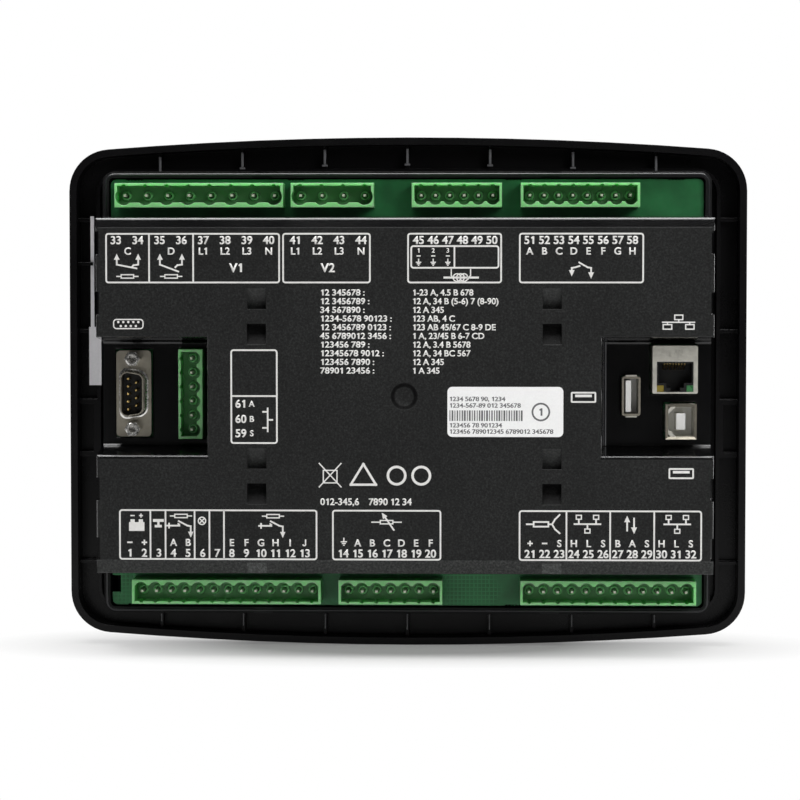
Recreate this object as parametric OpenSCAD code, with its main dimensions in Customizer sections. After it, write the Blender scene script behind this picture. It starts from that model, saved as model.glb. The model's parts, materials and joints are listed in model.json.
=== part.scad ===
// Panel-mounted genset controller: a fascia that closes a panel cut-out, push keys and a display in
// front, and a rear case with pluggable terminal sockets in two troughs and ports in two side recesses.
// The panel's front surface is the plane y = 0, the front looks along -Y and +Z is up.

/* [Fascia] */
// How far the rim stands out past the case at each side
rim_side = 13.6; // [12:0.1:18]
// How far the rim stands out past the case at top and bottom, in the middle
rim_end = 12.7; // [11:0.1:18]
// Depth of the front face before the panel
front_depth = 12; // [11.5:0.1:14]
// Rise of the arched top and bottom edges from side to middle
arch_rise = 5.3; // [2:0.1:8]
// Corner radius of the rim
corner_r = 15; // [10:0.5:22]
// Rounding of the front edge
front_round = 4; // [2:0.5:6]
// Thickness of the rim wall
rim_t = 2.6; // [2:0.1:3.5]
// Thickness of the front wall
front_wall = 2.3; // [2:0.1:2.6]
// Thickness of the locating ring round the case
ring_t = 1.4; // [1:0.1:2]
// Gap between the case and the ring at the two sides
ring_gap_x = 3.1; // [2.8:0.1:4]
// Gap between the case and the ring at top and bottom
ring_gap_z = 0.3; // [0.2:0.1:1]
// Depth of the ring and rib edges below the panel plane
ring_drop = 5; // [4:0.5:6]
// Spacing of the ribs along the top and the bottom
rib_pitch = 30; // [26:0.5:32]
// Thickness of the thin ribs
rib_t = 1.2; // [0.8:0.1:2]
// Thickness of the two strong ribs on each side
strong_rib_t = 1.8; // [1.4:0.1:2.6]

/* [Rear case] */
// Depth of the rear face behind the panel
rear_depth = 38; // [36:0.5:44]
// Width of the spigot that passes the cut-out
case_w = 217.8; // [196:0.2:240]
// Wall of the spigot and of the raised body
case_wall = 2.2; // [1.6:0.1:2.4]
// Thickness of the rear wall
rear_wall = 2.4; // [2:0.1:3]
// Height of the raised body between the two troughs
body_h = 124.4; // [112:0.2:140]
// Distance from the raised body to the outside of the spigot, at each trough
trough_w = 17.1; // [16:0.1:20]
// Draft of the raised body on each side
body_draft = 1.2; // [0.6:0.1:1.6]
// Height of the bevel along the upper edge
bevel_up = 3.5; // [2:0.1:6]
// Height of the bevel along the lower edge
bevel_low = 4.2; // [2:0.1:6]
// Depth of both bevels
bevel_depth = 1.6; // [0.8:0.1:2.4]
// Rounding of the case edges
edge_r = 1; // [0.5:0.1:1.4]
// Height of the trough walls above the board
lip_h = 2; // [1:0.1:4]
// Length of the side recesses from the side of the case
recess_l = 40.15; // [39.5:0.05:42]
// Height of the side recesses at the rear face
recess_h = 41.3; // [40.8:0.1:44]
// Slope of the recess walls down to the floor
recess_slope = 1.9; // [1:0.1:2]
// Flare of the recess end wall down to the floor
recess_flare = 2.1; // [1:0.1:2.2]
// Height of the recess floor above the board
recess_floor = 4; // [3:0.1:4.6]
// Width of a cable tie anchor
tie_w = 6.65; // [5:0.05:8]
// Length of each ramp of a cable tie anchor
tie_ramp = 7.4; // [5:0.1:9]
// Length of the bridge of a cable tie anchor
tie_bridge = 5.1; // [4:0.1:6]
// Depth of a cable tie anchor
tie_depth = 3.8; // [3.4:0.1:4.6]
// Thickness of the bridge of a cable tie anchor
tie_bridge_t = 1.5; // [1.2:0.1:1.8]
// Distance of the anchors from the recess walls
tie_inset = 17.25; // [10:0.25:24]
// Height of the anchors above and below the middle
tie_z = 27.9; // [25:0.1:36]

/* [Boards] */
// Height of the main board's rear surface behind the panel
board_y = 8.5; // [7.5:0.5:9]
// Thickness of both boards
board_t = 1.6; // [1.2:0.1:2]
// Gap between the main board and the spigot wall
board_gap = 0.5; // [0.3:0.1:1]
// Depth of the display board's rear surface below the panel plane
display_board_drop = 2.4; // [2.2:0.1:2.6]
// Gap between the display board and the spigot wall at the sides
display_gap_side = 4.7; // [2:0.1:7]
// Gap between the display board and the spigot wall at top and bottom
display_gap_end = 4.1; // [2:0.1:7]
// Distance of the board screws from the side of the case
screw_side = 40.9; // [39:0.1:42]
// Distance of the upper board screws from the raised body's edge
screw_edge = 10.2; // [9:0.1:12]
// Height of the lower board screws below the middle
screw_low = 36; // [32:0.5:40]
// Radius of the board screws' thread
screw_r = 1.25; // [1:0.05:1.5]

/* [Terminal sockets] */
// Pitch of the small terminals
small_pitch = 5.08; // [5:0.02:5.1]
// Pitch of the large terminals
large_pitch = 7.62; // [7.5:0.02:7.64]
// Height of the sockets above the board
socket_h = 12; // [11:0.1:14]
// Width of the sockets
socket_w = 8.6; // [8.2:0.1:9]
// Thickness of the sockets' plain walls
socket_wall = 0.9; // [0.7:0.1:1.1]
// Thickness of the sockets' floor
socket_floor = 2.5; // [1.5:0.1:3.5]
// Side of the square pins
pin_side = 1; // [0.8:0.05:1.2]
// Depth of the pin tips below the socket rim
pin_drop = 3.5; // [2.5:0.1:5]
// Distance of both terminal rows from the outside of the spigot
row_inset = 8.7; // [8.2:0.1:9.2]

/* [Ports] */
// Distance of the nine-pin port from the side of the case
serial_inset = 11.5; // [10.4:0.1:13]
// Spacing of the nine-pin port's screws
serial_screw_pitch = 24.99; // [24.9:0.01:25.1]
// Height of the nine-pin port's flange above the board
serial_flange_h = 6.5; // [6:0.1:7.5]
// Distance of the host port from the side of the case
host_inset = 29; // [28.4:0.1:30.4]
// Distance of the network port from the side of the case
lan_inset = 13.5; // [12:0.1:13.6]
// Height of the network port above the middle
lan_z = 8.9; // [8:0.1:9.3]
// Distance of the device port from the side of the case
device_inset = 11.4; // [10:0.1:11.5]
// Height of the device port below the middle
device_z = 9.5; // [9:0.1:11]
// Height of all port mouths above the board
port_h = 12.5; // [12:0.1:14]

/* [Keys and display] */
// Gap between the display's holder and the arrow keys
window_gap = 0.9; // [0.5:0.1:4]
// Height of the display opening
window_h = 68; // [62:1:70]
// Height of the display above the middle
window_z = 22; // [20:0.5:23]
// Width of the mode keys
mode_key_w = 20; // [16:0.5:22]
// Height of the mode keys
mode_key_h = 15; // [12:0.5:16]
// Distance of the outer mode keys from the side of the case
mode_key_side = 26.4; // [24:0.2:30]
// Distance of the mode keys from the lower edge of the case
mode_key_inset = 21.3; // [19:0.1:24]
// Side of the arrow keys
arrow_key_s = 11; // [9:0.5:11.5]
// Spacing of the arrow keys
arrow_key_pitch = 14.5; // [14.2:0.1:15]
// Distance of the arrow keys and the lamps from the side of the case
arrow_key_inset = 24.9; // [24.4:0.1:28]
// How far the keys stand before the front face
key_proud = 1; // [0.8:0.1:2]
// Travel of the keys
key_travel = 0.6; // [0.3:0.1:0.8]
// Gap round the keys
key_gap = 0.3; // [0.25:0.05:0.5]

/* [Hidden] */
$fn = 40;
// overlap that lets joined shapes fuse, and the run-out of cutters
bond = 0.4;
run = 3;
arc_steps = 6;

// outlines that follow from each other: raised body, spigot and rim
base_x = case_w / 2;
body_z = body_h / 2;
case_h = body_h + 2 * trough_w;
case_z = case_h / 2;
inner_x = base_x - case_wall;
fascia_w = case_w + 2 * rim_side;
fascia_h = case_h + 2 * rim_end;

// depths along Y
front_y = -front_depth;
inner_y = front_y + front_wall;
ring_y = -ring_drop;
disp_rear = -display_board_drop;
disp_front = disp_rear - board_t;
main_front = board_y - board_t;
socket_y = board_y + socket_h;
port_y = board_y + port_h;
floor_y = board_y + recess_floor;
flange_y = board_y + serial_flange_h;

// fascia rim: arcs of one large radius above and below, corner arcs between them and the sides
arch_r = (fascia_w * fascia_w / 4 + arch_rise * arch_rise) / (2 * arch_rise);
arch_z = fascia_h / 2 - arch_r;
arch_fn = 1440;
// step by which the corner arcs stand back from the arches and the sides
corner_set = 0.03;
ring_x = case_w / 2 + ring_gap_x + ring_t;
ring_z = case_h / 2 + ring_gap_z + ring_t;
ring_r = 9;
side_ribs = [62.5, 22, -62.5];
strong_ribs = [-3.7, -23];
tab_w = 10;
tab_t = 1.3;
tab_gap = 0.3;
tab_places = [-46, 46];
barb = 1.2;
barb_y = [-3.6, -1.2];
post_r = 3.2;
post_floor = 1;

// raised body of the rear case
side_wall = case_wall + 0.6;
body_x = base_x - body_draft;
recess_x = base_x - recess_l;
tie_x = recess_x - tie_inset;
spigot_r = 4;
recess_top = recess_h / 2;
recess_low = recess_top - recess_slope;
floor_t = 1.5;
clip_slots = [53.5, 32.5, -32.5, -53.5];
clip_slot_w = 8;
clip_slot_depth = 1.1;
clip_slot_l = 12;
dimple_r = 4.85;
dimple_depth = 1.2;
port_gap = 0.4;

// boards
main_w = case_w - 2 * case_wall - 2 * board_gap;
main_h = case_h - 2 * case_wall - 2 * board_gap;
display_board_w = case_w - 2 * case_wall - 2 * display_gap_side;
display_board_h = case_h - 2 * case_wall - 2 * display_gap_end;
screw_up = body_z - screw_edge;
screw_x = base_x - screw_side;
screw_places = [[screw_x, screw_up], [-screw_x, screw_up], [screw_x, -screw_low], [-screw_x, -screw_low]];
board_notch_l = 3;
board_notch_h = 6;
board_notch_z = 10.3;
link_w = 50;
link_h = 5;
link_z = -42.5;
fit = 0.05;
screw_clear = 0.35;
spacer_af = 5.6;
spacer_bore = 5;
screw_head_r = 2.8;
screw_head_h = 1.9;
bite_r = 0.45;
bite_pitch = 1.2;
bite_count = 5;
bite_places = [97, 39, -39, -97];

// terminal sockets: count of poles and pitch, each a gap away from the one before it or from the spigot wall
socket_end = 3.25;
row_z = case_z - row_inset;
top_kinds = [[8, large_pitch], [4, large_pitch], [6, small_pitch], [8, small_pitch]];
top_gaps = [3.38, 2.8, 13.52, 6.67];
bottom_kinds = [[13, small_pitch], [7, small_pitch]];
bottom_gaps = [9.02, 6.33];
far_kind = [12, small_pitch];
far_gap = 3.51;
function socket_half(kind) = (kind[0] - 1) * kind[1] / 2 + socket_end;
function along(kinds, gaps, i) =
  (i < 1 ? inner_x : along(kinds, gaps, i - 1) - socket_half(kinds[i - 1])) - gaps[i] - socket_half(kinds[i]);
top_1 = concat(top_kinds[0], along(top_kinds, top_gaps, 0));
top_2 = concat(top_kinds[1], along(top_kinds, top_gaps, 1));
top_3 = concat(top_kinds[2], along(top_kinds, top_gaps, 2));
top_4 = concat(top_kinds[3], along(top_kinds, top_gaps, 3));
bottom_1 = concat(bottom_kinds[0], along(bottom_kinds, bottom_gaps, 0));
bottom_2 = concat(bottom_kinds[1], along(bottom_kinds, bottom_gaps, 1));
bottom_3 = concat(far_kind, far_gap + socket_half(far_kind) - inner_x);
side_poles = 6;
side_inset = 7.75;
side_x = recess_x + side_inset;

// ports
serial_x = base_x - serial_inset;
host_x = base_x - host_inset;
lan_x = base_x - lan_inset;
device_x = base_x - device_inset;
tooth_small = 1.25;
tooth_large = 0.9;
scallop_wall = 0.8;
scallop_small = 2.3;
scallop_large = 3;
groove_r = 0.8;
groove_set = 0.5;

// display and keys
lens_lap = 2;
lens_t = 1.2;
lens_gap = 0.2;
lens_room = 2 * (lens_lap + lens_gap);
frame_lap = 5;
frame_wall = 1.6;
glass_gap = 0.3;
glass_t = 2.4;
flange_lap = 1.1;
flange_t = 1.1;
stem_r = 1.6;
stem_l = 2.4;
switch_s = 6;
switch_h = 3.2;
switch_floor = 0.5;
key_round = 3;
lamp_r = 2;
lamp_gap = 0.15;
lamp_proud = 0.3;
arrow_key_x = base_x - arrow_key_inset;
mode_key_z = case_z - mode_key_inset;
window_w = 2 * (arrow_key_x - arrow_key_pitch - arrow_key_s / 2 - flange_lap - frame_lap - window_gap);
lamp_x = -arrow_key_x;
lamp_pitch = 11;
lamp_count = 4;
mode_count = 6;
mode_key_pitch = 2 * (base_x - mode_key_side) / (mode_count - 1);
mode_keys = [for (i = [0:mode_count - 1]) [(i - (mode_count - 1) / 2) * mode_key_pitch, -mode_key_z]];
arrow_keys = [for (d = [[0, 1], [0, -1], [-1, 0], [1, 0], [0, 0]])
  [arrow_key_x + d[0] * arrow_key_pitch, window_z + d[1] * arrow_key_pitch]];
all_keys = concat(mode_keys, arrow_keys);
lamps = [for (i = [0:lamp_count - 1]) [lamp_x, window_z + (i - (lamp_count - 1) / 2) * lamp_pitch]];

// rating label and legend card
label_x = [-55.4, -15.1];
label_z = [-14.05, 3.4];
label_t = 0.15;
card_z = [1, 64];
card_t = 0.5;
card_out = 3.2;
card_hook_z = 46.5;
card_hook_t = 1.2;

// corner of a polygon turned into an arc of radius r
function unit(v) = v / norm(v);
function turn(a) = a > 180 ? a - 360 : a < -180 ? a + 360 : a;
function corner(p, before, after, r) = r == 0 ? [p] :
  let (ua = unit(before - p), ub = unit(after - p), half = acos(ua * ub) / 2)
  let (c = p + unit(ua + ub) * r / sin(half))
  let (s = p + ua * r / tan(half) - c, e = p + ub * r / tan(half) - c)
  let (from = atan2(s[1], s[0]), sweep = turn(atan2(e[1], e[0]) - from))
  [for (i = [0:arc_steps]) let (t = from + sweep * i / arc_steps) c + r * [cos(t), sin(t)]];
function rounded(pts, radii) = let (n = len(pts))
  [for (i = [0:n - 1]) each corner(pts[i], pts[(i + n - 1) % n], pts[(i + 1) % n], radii[i])];
function rect(w, h) = [[w, h] / 2, [-w, h] / 2, [-w, -h] / 2, [w, -h] / 2];
function round_rect(w, h, r) = rounded(rect(w, h), [r, r, r, r]);

// height of the rim's inner wall above the middle, at a sideways place
function rim_top(x) = arch_z + sqrt(arch_r * arch_r - x * x) - rim_t;

// a flat outline in X and Z drawn out along Y, one in Y and Z along X, one in X and Y along Z
module slab(y0, y1) {
  translate([0, y1, 0]) rotate([90, 0, 0]) linear_extrude(y1 - y0) children();
}

module across(x0, x1) {
  translate([x0, 0, 0]) rotate([90, 0, 90]) linear_extrude(x1 - x0) children();
}

module upright(z0, z1) {
  translate([0, 0, z0]) linear_extrude(z1 - z0) children();
}

// a box between limits on each axis
module block(x, y, z) {
  translate([x[0], y[0], z[0]]) cube([x[1] - x[0], y[1] - y[0], z[1] - z[0]]);
}

// a round rod along Y
module rod(r, y0, y1) {
  translate([0, y0, 0]) rotate([-90, 0, 0]) cylinder(r = r, h = y1 - y0);
}

module at(p) {
  translate([p[0], 0, p[1]]) children();
}

// a disc about Y with its front edge rounded
module disc(r, round_r, y0, y1) {
  rotate([-90, 0, 0]) rotate_extrude()
    polygon(rounded([[0, y0], [r, y0], [r, y1], [0, y1]], [0, round_r, 0, 0]));
}

// the rim's outline moved inwards: two large discs for the arched edges, upright sides, revolved corners
module rim_form(inset, round_r, y0, y1) {
  big = arch_r - inset;
  small = corner_r - inset;
  w = fascia_w / 2 - inset;
  cx = w - small;
  lean = asin(cx / (big - small));
  cz = arch_z + (big - small) * cos(lean);
  reach = 2 * small;
  difference() {
    intersection() {
      translate([0, 0, arch_z]) disc(big, round_r, y0, y1, $fn = arch_fn);
      translate([0, 0, -arch_z]) disc(big, round_r, y0, y1, $fn = arch_fn);
      upright(-fascia_h, fascia_h)
        polygon(rounded([[-w, y1], [-w, y0], [w, y0], [w, y1]], [0, round_r, round_r, 0]));
    }
    for (sx = [0, 1], sz = [0, 1]) mirror([sx, 0, 0]) mirror([0, 0, sz]) difference() {
      slab(y0 - 1, y1 + 1) polygon([[cx, cz], [cx + reach * sin(lean), cz + reach * cos(lean)],
        [cx + reach, cz + reach], [cx + reach, cz]]);
      at([cx, cz]) disc(small - corner_set, round_r, y0, y1);
    }
  }
}

module rib_set() {
  for (i = [-3:3], s = [-1, 1]) {
    x = i * rib_pitch;
    top = rim_top(x) + bond;
    low = ring_z - bond;
    mirror([0, 0, s < 0 ? 1 : 0])
      block([x - rib_t / 2, x + rib_t / 2], [inner_y - bond, ring_y], [low, top]);
  }
  for (s = [0, 1]) mirror([s, 0, 0]) {
    span = [ring_x - bond, fascia_w / 2 - rim_t + bond];
    for (z = side_ribs) block(span, [inner_y - bond, ring_y], [z - rib_t / 2, z + rib_t / 2]);
    for (z = strong_ribs) block(span, [inner_y - bond, ring_y], [z - strong_rib_t / 2, z + strong_rib_t / 2]);
    block([ring_x - bond, ring_x + ring_t], [inner_y - bond, ring_y], [strong_ribs[1], strong_ribs[0]]);
  }
}

// spring tabs that hold the rear case, with a barb for the window in its wall
module tab_set() {
  x = case_w / 2 + tab_gap;
  for (s = [0, 1], z = tab_places) mirror([s, 0, 0]) {
    block([x, x + tab_t], [inner_y - bond, barb_y[1]], [z - tab_w / 2, z + tab_w / 2]);
    upright(z - tab_w / 2, z + tab_w / 2)
      polygon([[x + bond, barb_y[0]], [x - barb, barb_y[0]], [x + bond, barb_y[1]]]);
  }
}

module card_hook() {
  x = ring_x + card_out - 2;
  block([x, fascia_w / 2 - rim_t + bond], [ring_y + card_t, ring_y + card_t + card_hook_t],
    [card_hook_z - card_hook_t / 2, card_hook_z + card_hook_t / 2]);
}

module key_hole(p, w, h) {
  at(p) slab(front_y - run, inner_y + run) polygon(round_rect(w + 2 * key_gap, h + 2 * key_gap, key_round));
}

module front_fascia() {
  color([0.07, 0.07, 0.075]) difference() {
    union() {
      difference() {
        rim_form(0, front_round, front_y, run);
        rim_form(rim_t, 0, inner_y, 2 * run);
        slab(0, 2 * run) square([fascia_w + 2 * run, fascia_h + 2 * run], center = true);
      }
      difference() {
        slab(inner_y - bond, ring_y) polygon(round_rect(2 * ring_x, 2 * ring_z, ring_r));
        slab(inner_y, ring_y + 1)
          polygon(round_rect(2 * (ring_x - ring_t), 2 * (ring_z - ring_t), ring_r - ring_t));
      }
      rib_set();
      tab_set();
      card_hook();
      for (p = screw_places) at(p) rod(post_r, inner_y - bond, disp_front);
    }
    for (p = screw_places) at(p) rod(screw_r + fit, front_y + post_floor, disp_front + 1);
    translate([0, 0, window_z]) {
      slab(front_y - run, inner_y + 1) square([window_w, window_h], center = true);
      slab(front_y - run, front_y + lens_t + lens_gap)
        polygon(round_rect(window_w + lens_room, window_h + lens_room, lens_lap));
    }
    for (p = mode_keys) key_hole(p, mode_key_w, mode_key_h);
    for (p = arrow_keys) key_hole(p, arrow_key_s, arrow_key_s);
    for (p = lamps) at(p) rod(lamp_r + lamp_gap, front_y - 1, inner_y + 1);
  }
}

module display_window() {
  color([0.35, 0.4, 0.42, 0.6]) translate([0, 0, window_z])
    slab(front_y + lens_gap, front_y + lens_gap + lens_t)
    polygon(round_rect(window_w + 2 * lens_lap, window_h + 2 * lens_lap, lens_lap - lens_gap));
}

// the display's holder: a frame between the front wall and the display board, lipped over the glass
module display_frame() {
  w = window_w + 2 * frame_lap;
  h = window_h + 2 * frame_lap;
  color([0.55, 0.56, 0.57]) translate([0, 0, window_z]) difference() {
    slab(inner_y, disp_front) polygon(round_rect(w, h, frame_wall));
    slab(inner_y - 1, disp_front + 1) square([window_w, window_h], center = true);
    slab(inner_y + frame_wall, disp_front + 1)
      square([w - 2 * frame_wall, h - 2 * frame_wall], center = true);
  }
}

module display_glass() {
  trim = 2 * (frame_lap - frame_wall - glass_gap);
  color([0.5, 0.56, 0.5]) translate([0, 0, window_z])
    slab(inner_y + frame_wall, inner_y + frame_wall + glass_t)
    square([window_w + trim, window_h + trim], center = true);
}

module display_board() {
  color([0.05, 0.3, 0.14]) difference() {
    slab(disp_front, disp_rear) polygon(round_rect(display_board_w, display_board_h, 3));
    for (p = screw_places) at(p) rod(screw_r + screw_clear, disp_front - 1, disp_rear + 1);
  }
}

module key_switches() {
  color([0.1, 0.1, 0.1]) for (p = all_keys) at(p) difference() {
    slab(disp_front - switch_h, disp_front) square(switch_s, center = true);
    rod(stem_r + key_gap, disp_front - switch_h - 1, disp_front - switch_floor);
  }
}

module indicator_lamps() {
  color([0.75, 0.1, 0.08]) for (p = lamps) at(p) {
    rod(lamp_r, front_y - lamp_proud, disp_front);
  }
}

// one push key: bevelled cap, flange behind the front wall and a stem into its switch
module key(p, w, h) {
  top = front_y - key_proud;
  edge = key_proud / 2;
  at(p) {
    intersection() {
      slab(top, inner_y + bond) polygon(round_rect(w, h, key_round - key_gap));
      across(-w, w) polygon([[inner_y + bond, -h / 2], [inner_y + bond, h / 2], [top + edge, h / 2],
        [top, h / 2 - edge], [top, edge - h / 2], [top + edge, -h / 2]]);
      upright(-h, h) polygon([[-w / 2, inner_y + bond], [w / 2, inner_y + bond], [w / 2, top + edge],
        [w / 2 - edge, top], [edge - w / 2, top], [-w / 2, top + edge]]);
    }
    slab(inner_y, inner_y + flange_t)
      polygon(round_rect(w + 2 * flange_lap, h + 2 * flange_lap, key_round));
    rod(stem_r, inner_y, inner_y + flange_t + stem_l);
  }
}

module mode_key(i, tone) {
  color(tone) key(mode_keys[i], mode_key_w, mode_key_h);
}

module arrow_key(i) {
  color([0.2, 0.21, 0.22]) key(arrow_keys[i], arrow_key_s, arrow_key_s);
}

module key_stop() { mode_key(0, [0.62, 0.06, 0.05]); }

module key_manual() { mode_key(1, [0.2, 0.21, 0.22]); }

module key_test() { mode_key(2, [0.2, 0.21, 0.22]); }

module key_auto() { mode_key(3, [0.2, 0.21, 0.22]); }

module key_mute() { mode_key(4, [0.2, 0.21, 0.22]); }

module key_start() { mode_key(5, [0.05, 0.36, 0.12]); }

module key_up() { arrow_key(0); }

module key_down() { arrow_key(1); }

module key_left() { arrow_key(2); }

module key_right() { arrow_key(3); }

module key_enter() { arrow_key(4); }

module main_board() {
  color([0.06, 0.34, 0.16]) difference() {
    slab(main_front, board_y) polygon(round_rect(main_w, main_h, 2));
    for (p = screw_places) at(p) rod(screw_r + screw_clear, main_front - 1, board_y + 1);
    for (x = bite_places, i = [1:bite_count], s = [-1, 1])
      at([x + (i - bite_count / 2) * bite_pitch, s * main_h / 2]) rod(bite_r, main_front - 1, board_y + 1);
    at([main_w / 2, board_notch_z - case_z]) slab(main_front - 1, board_y + 1)
      square([2 * board_notch_l, board_notch_h], center = true);
  }
}

// pin strip between the two boards
module board_link() {
  color([0.08, 0.08, 0.08]) at([0, link_z]) slab(disp_rear, main_front)
    square([link_w, link_h], center = true);
}

module board_spacers() {
  color([0.75, 0.6, 0.3]) for (p = screw_places) at(p) {
    difference() {
      slab(disp_rear, main_front) circle(d = spacer_af / cos(30), $fn = 6);
      rod(screw_r + fit, main_front - spacer_bore, main_front + 1);
    }
    rod(screw_r, inner_y, disp_rear + bond);
  }
}

module board_screws() {
  color([0.7, 0.7, 0.72]) for (p = screw_places) at(p) {
    rod(screw_head_r, board_y, board_y + screw_head_h);
    rod(screw_r, main_front - spacer_bore + 1, board_y + bond);
  }
}

// one terminal socket along X about its middle, scalloped towards -Z and grooved towards +Z
module socket(poles, pitch) {
  half = (poles - 1) * pitch / 2;
  scallop = pitch > small_pitch + 1 ? scallop_large : scallop_small;
  mouth = socket_y + 1;
  bed = board_y + socket_floor;
  reach = socket_w / 2 - scallop_wall - scallop;
  tooth = pitch > small_pitch + 1 ? tooth_large : tooth_small;
  inner = socket_w / 2 - socket_wall;
  bore = pin_side + 2 * fit;
  color([0.1, 0.55, 0.24]) difference() {
    block([-half - socket_end, half + socket_end], [board_y, socket_y], [-socket_w / 2, socket_w / 2]);
    block([-half - socket_end + socket_wall, half + socket_end - socket_wall], [bed, mouth],
      [scallop_wall + tooth - socket_w / 2, inner]);
    for (i = [0:poles - 1]) translate([i * pitch - half, 0, 0]) {
      at([0, -reach]) rod(scallop, bed, mouth);
      at([0, inner + groove_set - groove_r]) rod(groove_r, bed, mouth);
      slab(board_y - 1, mouth) square(bore, center = true);
    }
  }
}

module pins(poles, pitch) {
  for (i = [0:poles - 1]) translate([i * pitch - (poles - 1) * pitch / 2, 0, 0])
    block([-pin_side / 2, pin_side / 2], [board_y, socket_y - pin_drop], [-pin_side / 2, pin_side / 2]);
}

module in_top(row) {
  at([row[2], row_z]) children();
}

module in_bottom(row) {
  at([row[2], -row_z]) mirror([0, 0, 1]) children();
}

module in_side() {
  at([side_x, 0]) rotate([0, 90, 0]) children();
}

module socket_top_1() { in_top(top_1) socket(top_1[0], top_1[1]); }

module socket_top_2() { in_top(top_2) socket(top_2[0], top_2[1]); }

module socket_top_3() { in_top(top_3) socket(top_3[0], top_3[1]); }

module socket_top_4() { in_top(top_4) socket(top_4[0], top_4[1]); }

module socket_bottom_1() { in_bottom(bottom_1) socket(bottom_1[0], bottom_1[1]); }

module socket_bottom_2() { in_bottom(bottom_2) socket(bottom_2[0], bottom_2[1]); }

module socket_bottom_3() { in_bottom(bottom_3) socket(bottom_3[0], bottom_3[1]); }

module socket_side() { in_side() socket(side_poles, small_pitch); }

module pins_top() {
  color([0.78, 0.76, 0.7]) for (row = [top_1, top_2, top_3, top_4]) in_top(row) pins(row[0], row[1]);
}

module pins_bottom() {
  color([0.78, 0.76, 0.7]) for (row = [bottom_1, bottom_2, bottom_3]) in_bottom(row) pins(row[0], row[1]);
}

module pins_side() {
  color([0.78, 0.76, 0.7]) in_side() pins(side_poles, small_pitch);
}

// nine-pin serial port, its long side upright and its wide side towards +X
serial_flange_w = 12.5;
serial_flange_l = 30.8;
serial_sheet = 0.8;
serial_mouth = 6;
serial_half_x = 4.18;
serial_half_z = 8.46;
serial_pin_r = 0.5;
serial_pin_pitch = 2.74;
serial_pin_row = 1.42;
serial_housing_l = 19;
serial_housing_w = 10.4;
jack_af = 4.8;
jack_h = 5;
jack_thread_r = 1.2;
jack_stub_r = 1.45;

function d_outline(inset) =
  let (x = serial_half_x - inset, z = serial_half_z - inset, lean = 2 * x * tan(10), r = 2.6 - inset)
  rounded([[x, z], [-x, z - lean], [-x, lean - z], [x, -z]], [r, r, r, r]);
serial_pin_places = concat(
  [for (i = [-2:2]) [serial_pin_row, i * serial_pin_pitch]],
  [for (i = [-1.5:1.5]) [-serial_pin_row, i * serial_pin_pitch]]);
serial_screws = [[0, serial_screw_pitch / 2], [0, -serial_screw_pitch / 2]];

module serial_shell() {
  color([0.75, 0.75, 0.74]) at([serial_x, 0]) difference() {
    union() {
      slab(flange_y - serial_sheet, flange_y) polygon(round_rect(serial_flange_w, serial_flange_l, 1.5));
      slab(flange_y - serial_sheet, flange_y + serial_mouth) polygon(d_outline(0));
    }
    slab(flange_y - run, flange_y + serial_mouth + 1) polygon(d_outline(0.5));
    for (p = serial_screws) at(p) rod(jack_stub_r + fit, flange_y - run, flange_y + 1);
  }
}

module serial_insert() {
  color([0.06, 0.06, 0.06]) at([serial_x, 0]) difference() {
    union() {
      slab(board_y, flange_y - serial_sheet) square([serial_housing_w, serial_flange_l - 1], center = true);
      slab(board_y, flange_y + 0.4) polygon(d_outline(0.5 + fit));
    }
    for (p = serial_pin_places) at(p) rod(serial_pin_r + fit, board_y - 1, flange_y + 1);
    for (p = serial_screws) at(p) rod(jack_stub_r + fit, board_y - 1, flange_y);
  }
}

module serial_pins() {
  color([0.85, 0.68, 0.3]) at([serial_x, 0]) for (p = serial_pin_places) at(p) {
    rod(serial_pin_r, board_y, flange_y + serial_mouth - 1.2);
    translate([0, flange_y + serial_mouth - 1.2, 0]) sphere(r = serial_pin_r);
  }
}

module serial_jackscrews() {
  color([0.72, 0.72, 0.72]) at([serial_x, 0]) for (p = serial_screws) at(p) difference() {
    union() {
      slab(flange_y, flange_y + jack_h) circle(d = jack_af / cos(30), $fn = 6);
      rod(jack_stub_r, board_y, flange_y + bond);
    }
    rod(jack_thread_r, flange_y, flange_y + jack_h + 1);
  }
}

// host port: a flat upright metal mouth with a tongue near its +X side
host_w = 6.6;
host_l = 14;
host_z = -0.5;
port_sheet = 0.4;
port_lip = 0.4;
port_lip_h = 0.9;
port_base = 2.5;
tongue_drop = 1.2;
host_tongue_t = 1.9;
host_tongue_l = 11.2;
host_tongue_x = 0.55;

module host_shell() {
  w = host_w - 2 * port_lip;
  l = host_l - 2 * port_lip;
  color([0.8, 0.8, 0.8]) at([-host_x, host_z]) difference() {
    union() {
      slab(board_y, port_y) polygon(round_rect(w, l, 0.6));
      slab(port_y - port_lip_h, port_y) polygon(round_rect(host_w, host_l, 1));
    }
    slab(board_y - 1, port_y + 1) square([w - 2 * port_sheet, l - 2 * port_sheet], center = true);
  }
}

module host_tongue() {
  w = host_w - 2 * (port_lip + port_sheet + fit);
  l = host_l - 2 * (port_lip + port_sheet + fit);
  right = w / 2 - host_tongue_x;
  color([0.9, 0.9, 0.88]) at([-host_x, host_z]) {
    slab(board_y, board_y + port_base) square([w, l], center = true);
    block([right - host_tongue_t, right], [board_y, port_y - tongue_drop],
      [-host_tongue_l / 2, host_tongue_l / 2]);
  }
}

// device port: a nearly square metal mouth with two cut corners towards +X
device_w = 10.8;
device_l = 12.3;
device_cut = 2.6;
device_tongue_w = 3.2;
device_tongue_l = 5.8;

function device_outline(inset) =
  let (x = device_w / 2 - inset, z = device_l / 2 - inset, c = device_cut)
  rounded([[x, z - c], [x - c, z], [-x, z], [-x, -z], [x - c, -z], [x, c - z]],
    [0.6, 0.6, 0.4, 0.4, 0.6, 0.6]);

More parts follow.
